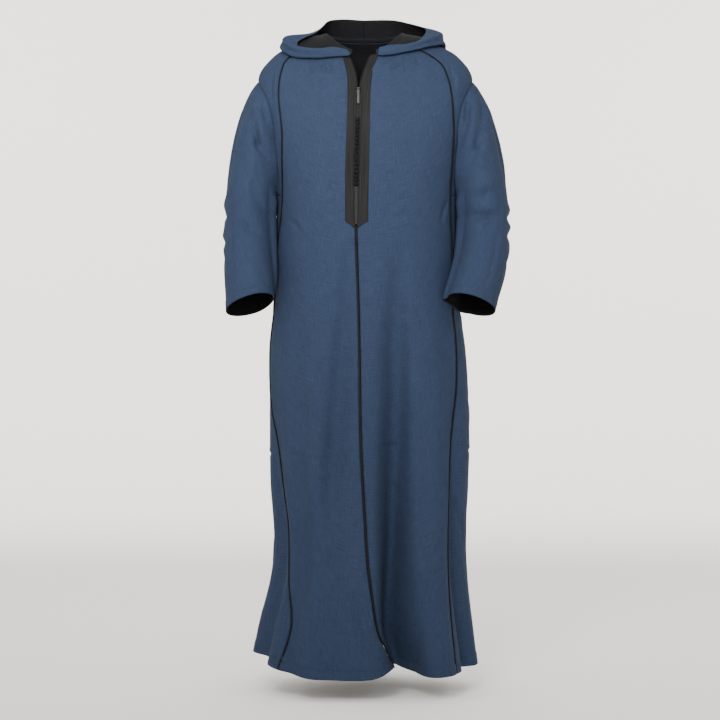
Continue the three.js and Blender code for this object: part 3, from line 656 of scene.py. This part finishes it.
def woven(name, dark, light, sheen, bump):
    """Melange cloth: fine warp and weft of two tones, with slubs, over a soft uneven tint."""
    look = Look(name)
    warp = look.noise(look.uv(620, 36), 1.0, 2.0, 0.5)
    weft = look.noise(look.uv(34, 560), 1.0, 2.0, 0.5)
    grain = look.noise(look.uv(1100, 1100), 1.0, 2.0, 0.6)
    threads = look.blend((warp, 0.24), (weft, 0.24), (grain, 0.52))
    tone = look.ramp(threads, (0.38, dark), (0.62, light))
    cloud = look.ramp(look.noise(look.uv(9, 5), 1.0, 3.0), (0.3, (0.93, 0.93, 0.94)), (0.7, (1.0, 1.0, 1.0)))
    look.set(Base_Color=look.tint(tone, cloud), Roughness=0.92, Sheen_Weight=sheen,
             Sheen_Roughness=0.45)
    look.shader.inputs["Specular IOR Level"].default_value = 0.1
    height = look.math("ADD", threads, look.math("MULTIPLY", look.wave(look.uv(1, 1), 420, "Y"), 0.12))
    look.bump(height, bump, 0.0006)
    return look.material


def corded(name, color, light, pitch, sheen):
    """Twisted cord: slanting strands across its length."""
    look = Look(name)
    strands = look.wave(look.uv(1, 1, 35), 1 / (pitch * MM) / WAVE_BANDS, "X", 0.6)
    fuzz = look.noise(look.uv(1500, 1500), 1.0, 2.0)
    tone = look.ramp(look.blend((strands, 0.7), (fuzz, 0.3)), (0.2, color), (0.9, light))
    look.set(Base_Color=tone, Roughness=0.7, Sheen_Weight=sheen, Sheen_Roughness=0.4)
    look.shader.inputs["Specular IOR Level"].default_value = 0.15
    look.bump(strands, 0.6, 0.0006)
    return look.material


def ribbed(name, dark, light):
    """Braid of upright cords: fine cross threads on each, with dark upright streaks painted as shade between
    them.
    """
    look = Look(name)
    threads = look.noise(look.uv(500, 1400), 1.0, 2.0, 0.6)
    # Long upright dark streaks: painted shade for the grooves between the cords.
    groove_shade_streaks = look.noise(look.uv(330, 5), 1.0, 2.0, 0.5)
    mixed = look.blend((threads, 0.5), (groove_shade_streaks, 0.5))
    look.set(Base_Color=look.ramp(mixed, (0.34, dark), (0.66, light)), Roughness=0.85)
    look.shader.inputs["Specular IOR Level"].default_value = 0.08
    look.bump(look.math("ADD", threads, look.wave(look.uv(1, 1), 150, "Y", 0.3)), 0.5, 0.0004)
    return look.material


def enamelled(name, color, worn, roughness):
    """Dark plated metal with a lighter worn tone here and there."""
    look = Look(name)
    rub = look.noise(look.node("ShaderNodeTexCoord").outputs["Object"], 700, 4.0, 0.6)
    look.set(Base_Color=look.ramp(rub, (0.45, color), (0.75, worn)), Metallic=0.85,
             Roughness=look.math("ADD", look.math("MULTIPLY", rub, 0.2), roughness - 0.1))
    look.bump(rub, 0.15, 0.0002)
    return look.material


CLOTH_LOOK = woven("navy_cloth", (0.0125, 0.0205, 0.0415), (0.0275, 0.0415, 0.0795), 0.008, 0.25)
# The reverse side is near black: partly the dark tone of the hood's lining, partly painted shade for the
# hollows inside the cuffs, hem and neck.
REVERSE_AND_SHADE_LOOK = woven("cloth_reverse_painted_shade", (0.004, 0.004, 0.005), (0.011, 0.011, 0.013), 0.02, 0.3)
BRAID_LOOK = ribbed("placket_braid", (0.0045, 0.0045, 0.0048), (0.028, 0.028, 0.0285))
CORD_LOOK = corded("black_cord", (0.0016, 0.0016, 0.0018), (0.007, 0.007, 0.0076), 2.2, 0.0)
THREAD_LOOK = corded("navy_thread", (0.012, 0.022, 0.04), (0.03, 0.05, 0.085), 1.0, 0.03)
ZIP_LOOK = enamelled("zip_enamel", (0.006, 0.006, 0.0065), (0.026, 0.026, 0.027), 0.5)
TAB_LOOK = enamelled("tab_gunmetal", (0.035, 0.035, 0.034), (0.09, 0.09, 0.086), 0.5)

BROAD, MEDIUM, SMALL, PUCKER = Noise(11), Noise(23), Noise(37), Noise(41)


# ---------------------------------------------------------------- cloth panels

def seam_relief(distance, along, seed):
    """The valley of a seam and the small puckers beside it."""
    short = PUCKER.at(along, distance * 0 + seed * 7.3, 9.0, 1.0)
    long = PUCKER.at(along, seed * 3.1, 21.0, 1.0)
    valley = -0.9 * np.exp(-(distance / 3.5) ** 2)
    return valley + 0.42 * (short + 0.6 * long) * np.exp(-(distance / 15.0) ** 2)


def turnup_relief(rise, along, fold):
    """The step and the stitched groove at the top of a turned-up edge, with its puckers."""
    step = 0.9 * smooth_step(rise, fold + 1.5, fold - 1.5) - 0.7 * np.exp(-((rise - fold) / 1.6) ** 2)
    return step, 0.5 * PUCKER.at(along, 0 * along, 12, 1) * np.exp(-((rise - fold) / 9.0) ** 2)


def unevenness(points):
    """Soft waves that all cloth has, in three sizes, the same on both sides of a seam."""
    u, v = points[..., 0] + 0.6 * points[..., 1], points[..., 2]
    return (1.3 * BROAD.at(u, v, 95, 150) + 0.55 * MEDIUM.at(u, v, 34, 60)
            + 0.16 * SMALL.at(u, v, 13, 17))


def finish_cloth(name, points, creases=None, seamed=False, turnup=0, ring=False, soft=1.0, relief=1.0,
                 looks=None):
    """Adds creases, seams and small unevenness to a grid of points and makes it a thin shell."""
    normals = directions(points, ring)
    u = lengths_along(points, 1)
    v = lengths_along(points, 0)
    width = u[:, -1:].copy()
    shift = CREASE_GAIN * crease_field(points, normals, creases) if creases else np.zeros(u.shape)
    shift += soft * unevenness(points)
    if seamed:
        near, clear = 1, 14  # creases fade out beside a seam
        shift *= smooth_step(u, near, clear)
        shift *= smooth_step(width - u, near, clear)
        shift += seam_relief(u, v, 1)
        shift += seam_relief(width - u, v, 2)
    if turnup:
        step, puckers = turnup_relief(v[-1:] - v, u, turnup)
        shift += step
        shift += puckers
    shift = shift * relief
    outer = points + normals * shift[..., None]
    uv = np.stack([u - width / 2, v], -1)
    inner = outer - normals * CLOTH
    # Inner faces take the near-black reverse look, which paints shade into the hollows of the cloth.
    piece = shell(f"{name}_cloth", outer, inner, uv, looks or (CLOTH_LOOK, REVERSE_AND_SHADE_LOOK), ring)
    dress(piece, "wool_cloth", name)
    return outer, normals, uv


def cells(length):
    return max(int(round(length / CELL)) + 1, 4)


def panel(name, top, left, right, width):
    """A body panel from the drop top to the hem, between two edges given as angles at drops.

    Its hem stitches are returned as parts.
    """
    drops = np.linspace(top, HEM, cells(HEM - top))
    angles = even_angles(left(drops), right(drops), drops, cells(width))
    points = body(angles, drops[:, None])
    if top > 0:
        points[0] -= outward(angles[0], drops[0]) * SIDE_IN
    outer, normals, _ = finish_cloth(name, points, CREASES, seamed=True, turnup=HEM_TURNUP)
    row = np.searchsorted(-(HEM - drops), -HEM_TURNUP)
    return stitch_line(outer[row], normals[row])


def seam(name, side):
    """The edge of a panel at a seam: side is -1 or 1 for the panel on its left or right."""
    return lambda drops: beside(SEAMS.at(name, drops), drops, side * (PIPING_WIDTH / 2 - PIPING_COVER))


def stitch_line(path, normals):
    """Small stitches along a line on the cloth, as parts."""
    run = np.concatenate([[0], np.cumsum(np.linalg.norm(np.diff(path, axis=0), axis=1))])
    centres = np.arange(STITCH_PITCH, run[-1] - STITCH_PITCH, STITCH_PITCH)

    def at(where, line):
        return np.stack([np.interp(where, run, line[:, i]) for i in range(3)], -1)

    along = unit(at(centres + 0.5, path) - at(centres - 0.5, path))
    out = unit(at(centres, normals))
    across = unit(np.cross(along, out))
    return [box_part(c + o * 0.12, x, o, a, STITCH)
            for c, x, o, a in zip(at(centres, path), across, out, along)]


def thread_piece(name, parts):
    dress(join_parts(name, parts, THREAD_LOOK), "wool_cloth")


def make_body():
    """The five panels from seam to seam, and the stitches of their hems."""
    panels = (
        ("front_left", 0, seam("front_left", 1), lambda drops: centre_angle(drops, -1), 290),
        ("front_right", 0, lambda drops: centre_angle(drops, 1), seam("front_right", -1), 330),
        ("back", 0, seam("back_right", 1), lambda drops: seam("back_left", -1)(drops) + 360, 520),
        ("side_left", ARMPIT - SIDE_UNDER, seam("back_left", 1), seam("front_left", -1), 300),
        ("side_right", ARMPIT - SIDE_UNDER, seam("front_right", 1), seam("back_right", -1), 260),
    )
    stitches = []
    for name, top, left, right, width in panels:
        stitches += panel(name, top, left, right, width)
    thread_piece("hem_stitches", stitches)


def armhole(turn, side):
    """Angle and drop of the armhole's edge at a turn round it, the flat underarm included."""
    folded = between(np.asarray(turn, float), 0)
    angle, drop = ARMHOLE.at("angle", folded), ARMHOLE.at("drop", folded)
    middle = (ARMHOLE.at("angle", 180) + ARMHOLE.at("angle", -180)) / 2
    share = np.clip((180 - np.abs(folded)) / (180 - UNDERARM_TURN), 0, 1)
    return side * (middle + (angle - middle) * share), drop


def make_shoulder(side):
    """A strip over the shoulder, from the underarm in front to the underarm behind."""
    name = "right" if side > 0 else "left"
    seam_drops = np.linspace(ARMPIT, 0, 76)
    seam_turns = SHOULDER_ROWS.at("turn", seam_drops)
    front = seam(f"front_{name}", side)(seam_drops)
    back = seam(f"back_{name}", -side)(seam_drops)
    neck = np.linspace(0, 1, 14)[1:-1]
    inner = np.concatenate([front, front[-1] * (1 - neck) + back[-1] * neck, back[::-1]])
    drops = np.concatenate([seam_drops, np.zeros(len(neck)), seam_drops[::-1]])
    turns = np.concatenate([seam_turns, seam_turns[-1] * (1 - 2 * neck), -seam_turns[::-1]])
    outer_angle, outer_drop = armhole(turns, side)
    share = np.linspace(0, 1, 30)
    angles = inner[:, None] + (outer_angle - inner)[:, None] * share
    rows = drops[:, None] + (outer_drop - drops)[:, None] * share
    points = body(angles, rows)
    if side > 0:
        points = points[:, ::-1]
    outer, normals, _ = finish_cloth(f"shoulder_{name}", points, CREASES, seamed=True)
    column = 2 if side > 0 else -3
    thread_piece(f"armhole_{name}_stitches", stitch_line(outer[2:-2, column], normals[2:-2, column]))


def sleeve_section(along, turn, side):
    """Points of the sleeve below the elbow: along is 0 there and 1 at the cuff."""
    value = {name: SLEEVE.at(name, along) for name in SLEEVE.columns if name != "along"}
    roll, pitch, turn = np.radians(value["roll"]), np.radians(value["pitch"]), np.radians(turn)
    zero = np.zeros(np.broadcast(along, turn).shape)
    across = np.stack([side * np.cos(roll) + zero, zero, -np.sin(roll) + zero], -1)
    ahead = np.stack([zero, -np.cos(pitch) + zero, np.sin(pitch) + zero], -1)
    x = value["right" if side > 0 else "left"]
    middle = np.stack([x + zero, value["y"] + zero, value["z"] + zero], -1)
    return (middle + across * (value["wide"] * np.cos(turn))[..., None]
            + ahead * (value["deep"] * np.sin(turn))[..., None])


def hang_close(points, side, near=0.6, reach=30.0):
    """The inner side of a sleeve hangs against the side of the body."""
    drop = -points[..., 2]
    level = np.clip(np.abs(points[..., 1]) / SECTIONS.at("fore", drop), 0, 0.98)
    edge = SECTIONS.at("mid", drop) + side * SECTIONS.at("half", drop) * (1 - level ** SQUARE) ** (1 / SQUARE)
    gap = side * (points[..., 0] - edge)
    closer = np.where(gap < reach, near + np.maximum(gap - near, 0) ** 3 / (reach - near) ** 2, gap)
    share = smooth_step(drop, ARMPIT - 30, ARMPIT + 10)
    moved = points.copy()
    moved[..., 0] += side * np.where(gap > near, closer - gap, 0) * share
    return moved


def make_sleeve(side):
    name = "right" if side > 0 else "left"
    turns = -side * np.linspace(0, 360, SLEEVE_TURNS, endpoint=False)
    angle, drop = armhole(turns, side)
    out = outward(angle, drop)
    top = body(angle, drop) + out * 1.0
    elbow = sleeve_section(np.zeros(len(turns)), turns, side)
    bend = top + (elbow - top) * ELBOW_BEND
    bend[:, 2] = top[:, 2] + (elbow[:, 2] - top[:, 2]) * 0.2
    t = np.linspace(0, 1, UPPER_RINGS)[:, None, None]
    upper = top * (1 - t) ** 2 + bend * 2 * t * (1 - t) + elbow * t * t
    along = np.linspace(0, 1, LOWER_RINGS + 1)[1:, None]
    lower = sleeve_section(np.broadcast_to(along, (LOWER_RINGS, len(turns))), turns[None, :], side)
    inboard = -unit(upper[1] - upper[0])
    head = top - out * HEAD_IN + inboard * HEAD_INBOARD
    points = np.concatenate([head[None], hang_close(upper, side), hang_close(lower, side)])
    # The inner side hangs against the body below the armpit, so it stays nearly smooth there.
    from_inner = np.abs(np.abs(turns) - 180)
    low = smooth_step(-points[..., 2], ARMPIT - 60, ARMPIT)
    relief = 1 - low * (1 - smooth_step(from_inner, 25, 75))[None, :]
    outer, normals, uv = finish_cloth(f"sleeve_{name}", points, SLEEVE_CREASES, turnup=CUFF_TURNUP,
                                      ring=True, soft=1.3, relief=relief)
    row = np.searchsorted(uv[:, 0, 1], uv[-1, 0, 1] - CUFF_TURNUP)

    def closed(grid):
        return np.concatenate([grid[row], grid[row][:1]])

    thread_piece(f"cuff_{name}_stitches", stitch_line(closed(outer), closed(normals)))


def through(knots, count):
    """Smooth rows through a few rows of points."""
    last = len(knots) - 1
    where = np.linspace(0, last, count)
    i = np.clip(where.astype(int), 0, last - 1)
    t = (where - i)[:, None, None]
    p1, p2 = knots[i], knots[i + 1]
    p0, p3 = knots[np.clip(i - 1, 0, None)], knots[np.clip(i + 2, None, last)]
    return 0.5 * (2 * p1 + (p2 - p0) * t + (2 * p0 - 5 * p1 + 4 * p2 - p3) * t ** 2
                  + (3 * p1 - p0 - 3 * p2 + p3) * t ** 3)


def make_hood(side):
    """Half of the hood: flat over the shoulder, rolled at its edge and back up to its mouth."""
    name = "right" if side > 0 else "left"
    stations = np.linspace(16, 180, HOOD_STATIONS)
    angles = side * stations
    table = HOODS[side]
    reach, roll = table.at("reach", stations), table.at("roll", stations)

    def above(share, height):
        drops = reach * share
        return body(angles, drops) + outward(angles, drops) * np.asarray(height)[..., None]

    neck = body(angles, np.zeros(len(stations)))
    rim = np.stack([table.at(axis, stations) for axis in ("x", "y", "z")], -1)
    over = above(0.96, HOOD_CLEAR + roll)
    bow = unit(np.stack([side * np.sin(np.radians(stations)), -np.cos(np.radians(stations)),
                         np.full(len(stations), 0.6)], -1))
    bow *= (HOOD_PUFF * np.minimum(reach / 80, 1))[:, None]
    knots = [neck + UP * 2.6, neck + UP * HOOD_STAND]
    knots += [above(share, np.full(len(stations), HOOD_CLEAR)) for share in (0.1, 0.24, 0.45, 0.72, 1)]
    knots += [above(1 + roll * 0.35 / reach, HOOD_CLEAR + roll * 0.45), over,
              over * 0.65 + rim * 0.35 + bow, over * 0.3 + rim * 0.7 + bow * 0.8, rim]
    points = through(np.stack(knots), HOOD_ROWS)
    seam_clear = 0.15
    points[:, -1, 0] = side * seam_clear
    if side < 0:
        points = points[:, ::-1]
    # The hood's lining side takes the near-black reverse look: its dark facing, with painted shade on top.
    finish_cloth(f"hood_{name}", points, soft=1.6, looks=(REVERSE_AND_SHADE_LOOK, CLOTH_LOOK))


# ---------------------------------------------------------------- trims

def seam_cord(node, drops, angles, half_width, half_height):
    """A cord along a seam, standing a little out of the cloth."""
    out = outward(angles, drops)
    path = body(angles, drops) + out * 0.5
    along = unit(np.gradient(path, axis=0))
    across = unit(np.cross(along, out))
    cord = tube(path, across, out, half_width, half_height, 10)
    dress(join_parts(f"{node}_cord", [cord], CORD_LOOK), "black_cord", node)


def make_pipings():
    drops = np.linspace(0, HEM, 420)
    for name in ("front_left", "front_right", "back_left", "back_right"):
        seam_cord(f"piping_{name}", drops, SEAMS.at(name, drops), 1.7, 1.3)
    low = np.linspace(PLACKET_POINT - 6, HEM, 320)
    seam_cord("braid_centre", low, centre_angle(low), 2.3, 1.4)


def make_placket(side):
    """Braid of upright cords on the edge of the slit, ending in a slanted point."""
    name = "right" if side > 0 else "left"
    per_cord = 6
    share = np.linspace(0, 1, PLACKET_CORDS * per_cord + 1)
    drops = np.linspace(0, PLACKET_POINT, 190)
    foot = PLACKET_POINT - (PLACKET_POINT - PLACKET_SHOULDER) * share
    rows = drops[:, None] * (foot / PLACKET_POINT)[None, :]
    edge = centre_angle(rows, side)
    angles = beside(edge, rows, side * (share * PLACKET_WIDTH)[None, :])
    ridge = 1.0 * np.abs(np.sin(np.pi * PLACKET_CORDS * share)) ** 0.7
    points = body(angles, rows)
    up = outward(angles, rows)
    wobble = 0.5 * MEDIUM.at(rows, angles * 0 + side * 40, 38, 1)
    outer = points + up * (0.9 + ridge[None, :] + wobble)[..., None]
    inner = points + up * (-0.1 + wobble)[..., None]
    u = np.broadcast_to(share * PLACKET_WIDTH, rows.shape)
    uv = np.stack([u, rows], -1)
    if side < 0:
        outer, inner, uv = outer[:, ::-1], inner[:, ::-1], uv[:, ::-1]
    piece = shell(f"placket_{name}_braid", outer, inner, uv, (BRAID_LOOK, BRAID_LOOK))
    dress(piece, "placket_braid", f"placket_{name}")


def centre_axes(drop, height, angle=None):
    """Place and directions on the middle line: across, out of the cloth and up it."""
    angle = centre_angle(drop) if angle is None else angle
    out = outward(angle, drop)
    across = np.array([1.0, 0.0, 0.0])
    up = unit(np.cross(out, across))
    return body(angle, drop) + out * height, across, out, -up


def box_part(centre, across, out, up, size):
    """A small box as a part, with its corners in its own directions."""
    corners = np.array([[i, j, k] for i in (-0.5, 0.5) for j in (-0.5, 0.5) for k in (-0.5, 0.5)])
    points = (centre + corners[:, :1] * size[0] * across + corners[:, 1:2] * size[1] * out
              + corners[:, 2:] * size[2] * up)
    faces = [[0, 1, 3, 2], [4, 6, 7, 5], [0, 4, 5, 1], [2, 3, 7, 6], [0, 2, 6, 4], [1, 5, 7, 3]]
    return points, faces, np.zeros((8, 2))


def make_chain():
    """Zip teeth along both edges of the V, and meshed below the slider."""
    for side, name in ((-1, "left"), (1, "right")):
        parts = []
        for drop in np.arange(4, SLIDER_DROP - 8, TOOTH_PITCH):
            angle = centre_angle(drop, side, 1.0)
            parts.append(box_part(*centre_axes(drop, 0.4, angle), OPEN_TOOTH))
        teeth = join_parts(f"chain_{name}_teeth", parts, ZIP_LOOK, smooth=False)
        dress(teeth, "zip_metal", f"chain_{name}")
    parts = []
    for i, drop in enumerate(np.arange(SLIDER_DROP + 8, SLIT_END, TOOTH_PITCH / 2)):
        centre, across, out, up = centre_axes(drop, 0.6)
        parts.append(box_part(centre + across * (0.9 if i % 2 else -0.9), across, out, up, MESHED_TOOTH))
    for drop in np.arange(SLIDER_DROP - 4, PLACKET_POINT - 6, 6.0):
        parts.append(box_part(*centre_axes(drop, -0.9), TAPE))
    teeth = join_parts("chain_closed_teeth", parts, ZIP_LOOK, smooth=False)
    dress(teeth, "zip_metal", "chain_closed")


def wound_part(centre, across, out, up, turn):
    """One cord wound over and under round itself into a ball."""
    t = np.linspace(0, 2 * np.pi, 96, endpoint=False)
    strands, lobes = 3, 4
    radius = 1 + 0.16 * np.sin(strands * lobes * t / 2 + turn)
    height = np.sin(lobes * t) * 0.78
    flat = np.sqrt(1 - (height * 0.92) ** 2)
    round_turn = strands * t + turn
    local = np.stack([np.cos(round_turn) * flat * 4.6, np.sin(round_turn) * flat * 2.2 * radius,
                      height * 3.9], -1)
    path = centre + local[:, :1] * across + local[:, 1:2] * out + local[:, 2:] * up
    along = unit(np.roll(path, -1, 0) - np.roll(path, 1, 0))
    side = unit(np.cross(along, unit(path - centre)))
    return tube(path, side, unit(np.cross(side, along)), 1.15, 1.15, 6, closed=True)


def core_part(centre, across, out, up):
    """The dark ball inside a knot, which closes the gaps between its turns."""
    rings, sides = 8, 10
    lat = np.linspace(-np.pi / 2, np.pi / 2, rings)
    lon = np.linspace(0, 2 * np.pi, sides, endpoint=False)
    local = np.stack([np.outer(np.cos(lat), np.cos(lon)) * 4.2, np.outer(np.cos(lat), np.sin(lon)) * 2.0,
                      np.repeat(np.sin(lat)[:, None], sides, 1) * 3.2], -1).reshape(-1, 3)
    index = np.arange(rings * sides).reshape(rings, sides)
    index = np.concatenate([index, index[:, :1]], 1)
    faces = np.stack([index[:-1, :-1], index[:-1, 1:], index[1:, 1:], index[1:, :-1]], -1).reshape(-1, 4)
    points = centre + local[:, :1] * across + local[:, 1:2] * out + local[:, 2:] * up
    return points, faces.tolist(), np.zeros((len(points), 2))


def make_knots():
    for i in range(KNOTS):
        axes = centre_axes(KNOT_TOP + i * KNOT_PITCH, KNOT_HEIGHT)
        node = f"knot_{i + 1:02d}"
        knot = join_parts(f"{node}_thread", [wound_part(*axes, 0.5 * i), core_part(*axes)], CORD_LOOK)
        dress(knot, "black_cord", node)


def make_metal():
    """The slider and pull tab keep their CAD shapes, with worn enamel looks."""
    for node, look in (("slider", ZIP_LOOK), ("pull_tab", TAB_LOOK)):
        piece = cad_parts[node]
        piece.data.materials.clear()
        piece.data.materials.append(look)


# ---------------------------------------------------------------- stage

CAMERA_AWAY = 4500.0
CAMERA_X, CAMERA_Z = -9.2, -695.0
FRAME_HEIGHT = 1656.0  # what the picture takes in at the robe's middle plane
SENSOR = 36.0
FLOOR_Z = -1447.0
FLOOR_RADIUS = 5500.0
COVE_REACH = 2600.0
COVE_HEIGHT = 3900.0
AIR_LIGHT = 1.4  # soft light from all round, through the open top of the studio

# Studio lamps: place and goal in metres, size in metres, spread in degrees, power and colour.
LIGHTS = (
    ("key", (-0.45, -2.2, 0.45), (0.0, 0.0, -0.15), 0.7, 70, 14, (1.0, 0.985, 0.96)),
    ("fill", (1.2, -3.3, 0.6), (0.0, 0.0, -0.5), 1.0, 180, 8, (0.97, 0.98, 1.0)),
    ("backdrop_left", (-2.6, 3.4, 2.6), (-1.8, 8.0, 0.6), 1.2, 150, 150, (1.0, 0.99, 0.97)),
    ("backdrop_right", (2.6, 3.4, 2.6), (1.8, 8.0, 0.6), 1.2, 150, 150, (1.0, 0.99, 0.97)),
)


def make_stage():
    """A round pale floor that curves up on every side, so that all views have the same backdrop."""
    floor_look = Look("pale_floor")
    floor_look.set(Base_Color=(0.96, 0.945, 0.915, 1), Roughness=0.75)
    turn = np.linspace(0, 2 * np.pi, 97)
    rise = np.linspace(0, np.pi / 2, 20)
    radius = np.append(1.0, FLOOR_RADIUS + COVE_REACH * np.sin(rise))
    height = FLOOR_Z + np.append(0.0, COVE_HEIGHT * (1 - np.cos(rise)))
    rings = np.stack([np.outer(radius, np.cos(turn)), np.outer(radius, np.sin(turn)),
                      np.repeat(height[:, None], len(turn), 1)], -1)
    index = np.arange(rings.shape[0] * rings.shape[1]).reshape(rings.shape[:2])
    faces = np.stack([index[:-1, :-1], index[1:, :-1], index[1:, 1:], index[:-1, 1:]], -1).reshape(-1, 4)
    floor = new_mesh("floor", rings.reshape(-1, 3), faces.tolist(), materials=(floor_look.material,))

    world = bpy.data.worlds.new("studio")
    world.use_nodes = True
    air = world.node_tree.nodes["Background"]
    air.inputs["Color"].default_value = (1.0, 0.99, 0.975, 1)
    air.inputs["Strength"].default_value = AIR_LIGHT
    bpy.context.scene.world = world

    for name, place, goal, size, spread, power, color in LIGHTS:
        data = bpy.data.lights.new(name, "AREA")
        data.size = size
        data.energy = power
        data.color = color
        data.spread = math.radians(spread)
        lamp = bpy.data.objects.new(name, data)
        lamp.location = place
        lamp.rotation_euler = (Vector(goal) - Vector(place)).to_track_quat("-Z", "Y").to_euler()
        bpy.context.scene.collection.objects.link(lamp)


def make_camera():
    """Level and square to the front, as far off as a full-length picture is taken."""
    data = bpy.data.cameras.new("camera")
    data.sensor_width = SENSOR
    data.lens = SENSOR * CAMERA_AWAY / FRAME_HEIGHT
    data.clip_end = 50
    camera = bpy.data.objects.new("camera", data)
    camera.location = (CAMERA_X * MM, -CAMERA_AWAY * MM, CAMERA_Z * MM)
    camera.rotation_euler = (math.pi / 2, 0, 0)
    bpy.context.scene.collection.objects.link(camera)
    bpy.context.scene.camera = camera


make_camera()
make_stage()
make_body()
for one_side in (-1, 1):
    make_shoulder(one_side)
    make_sleeve(one_side)
    make_hood(one_side)
    make_placket(one_side)
make_pipings()
make_chain()
make_knots()
make_metal()
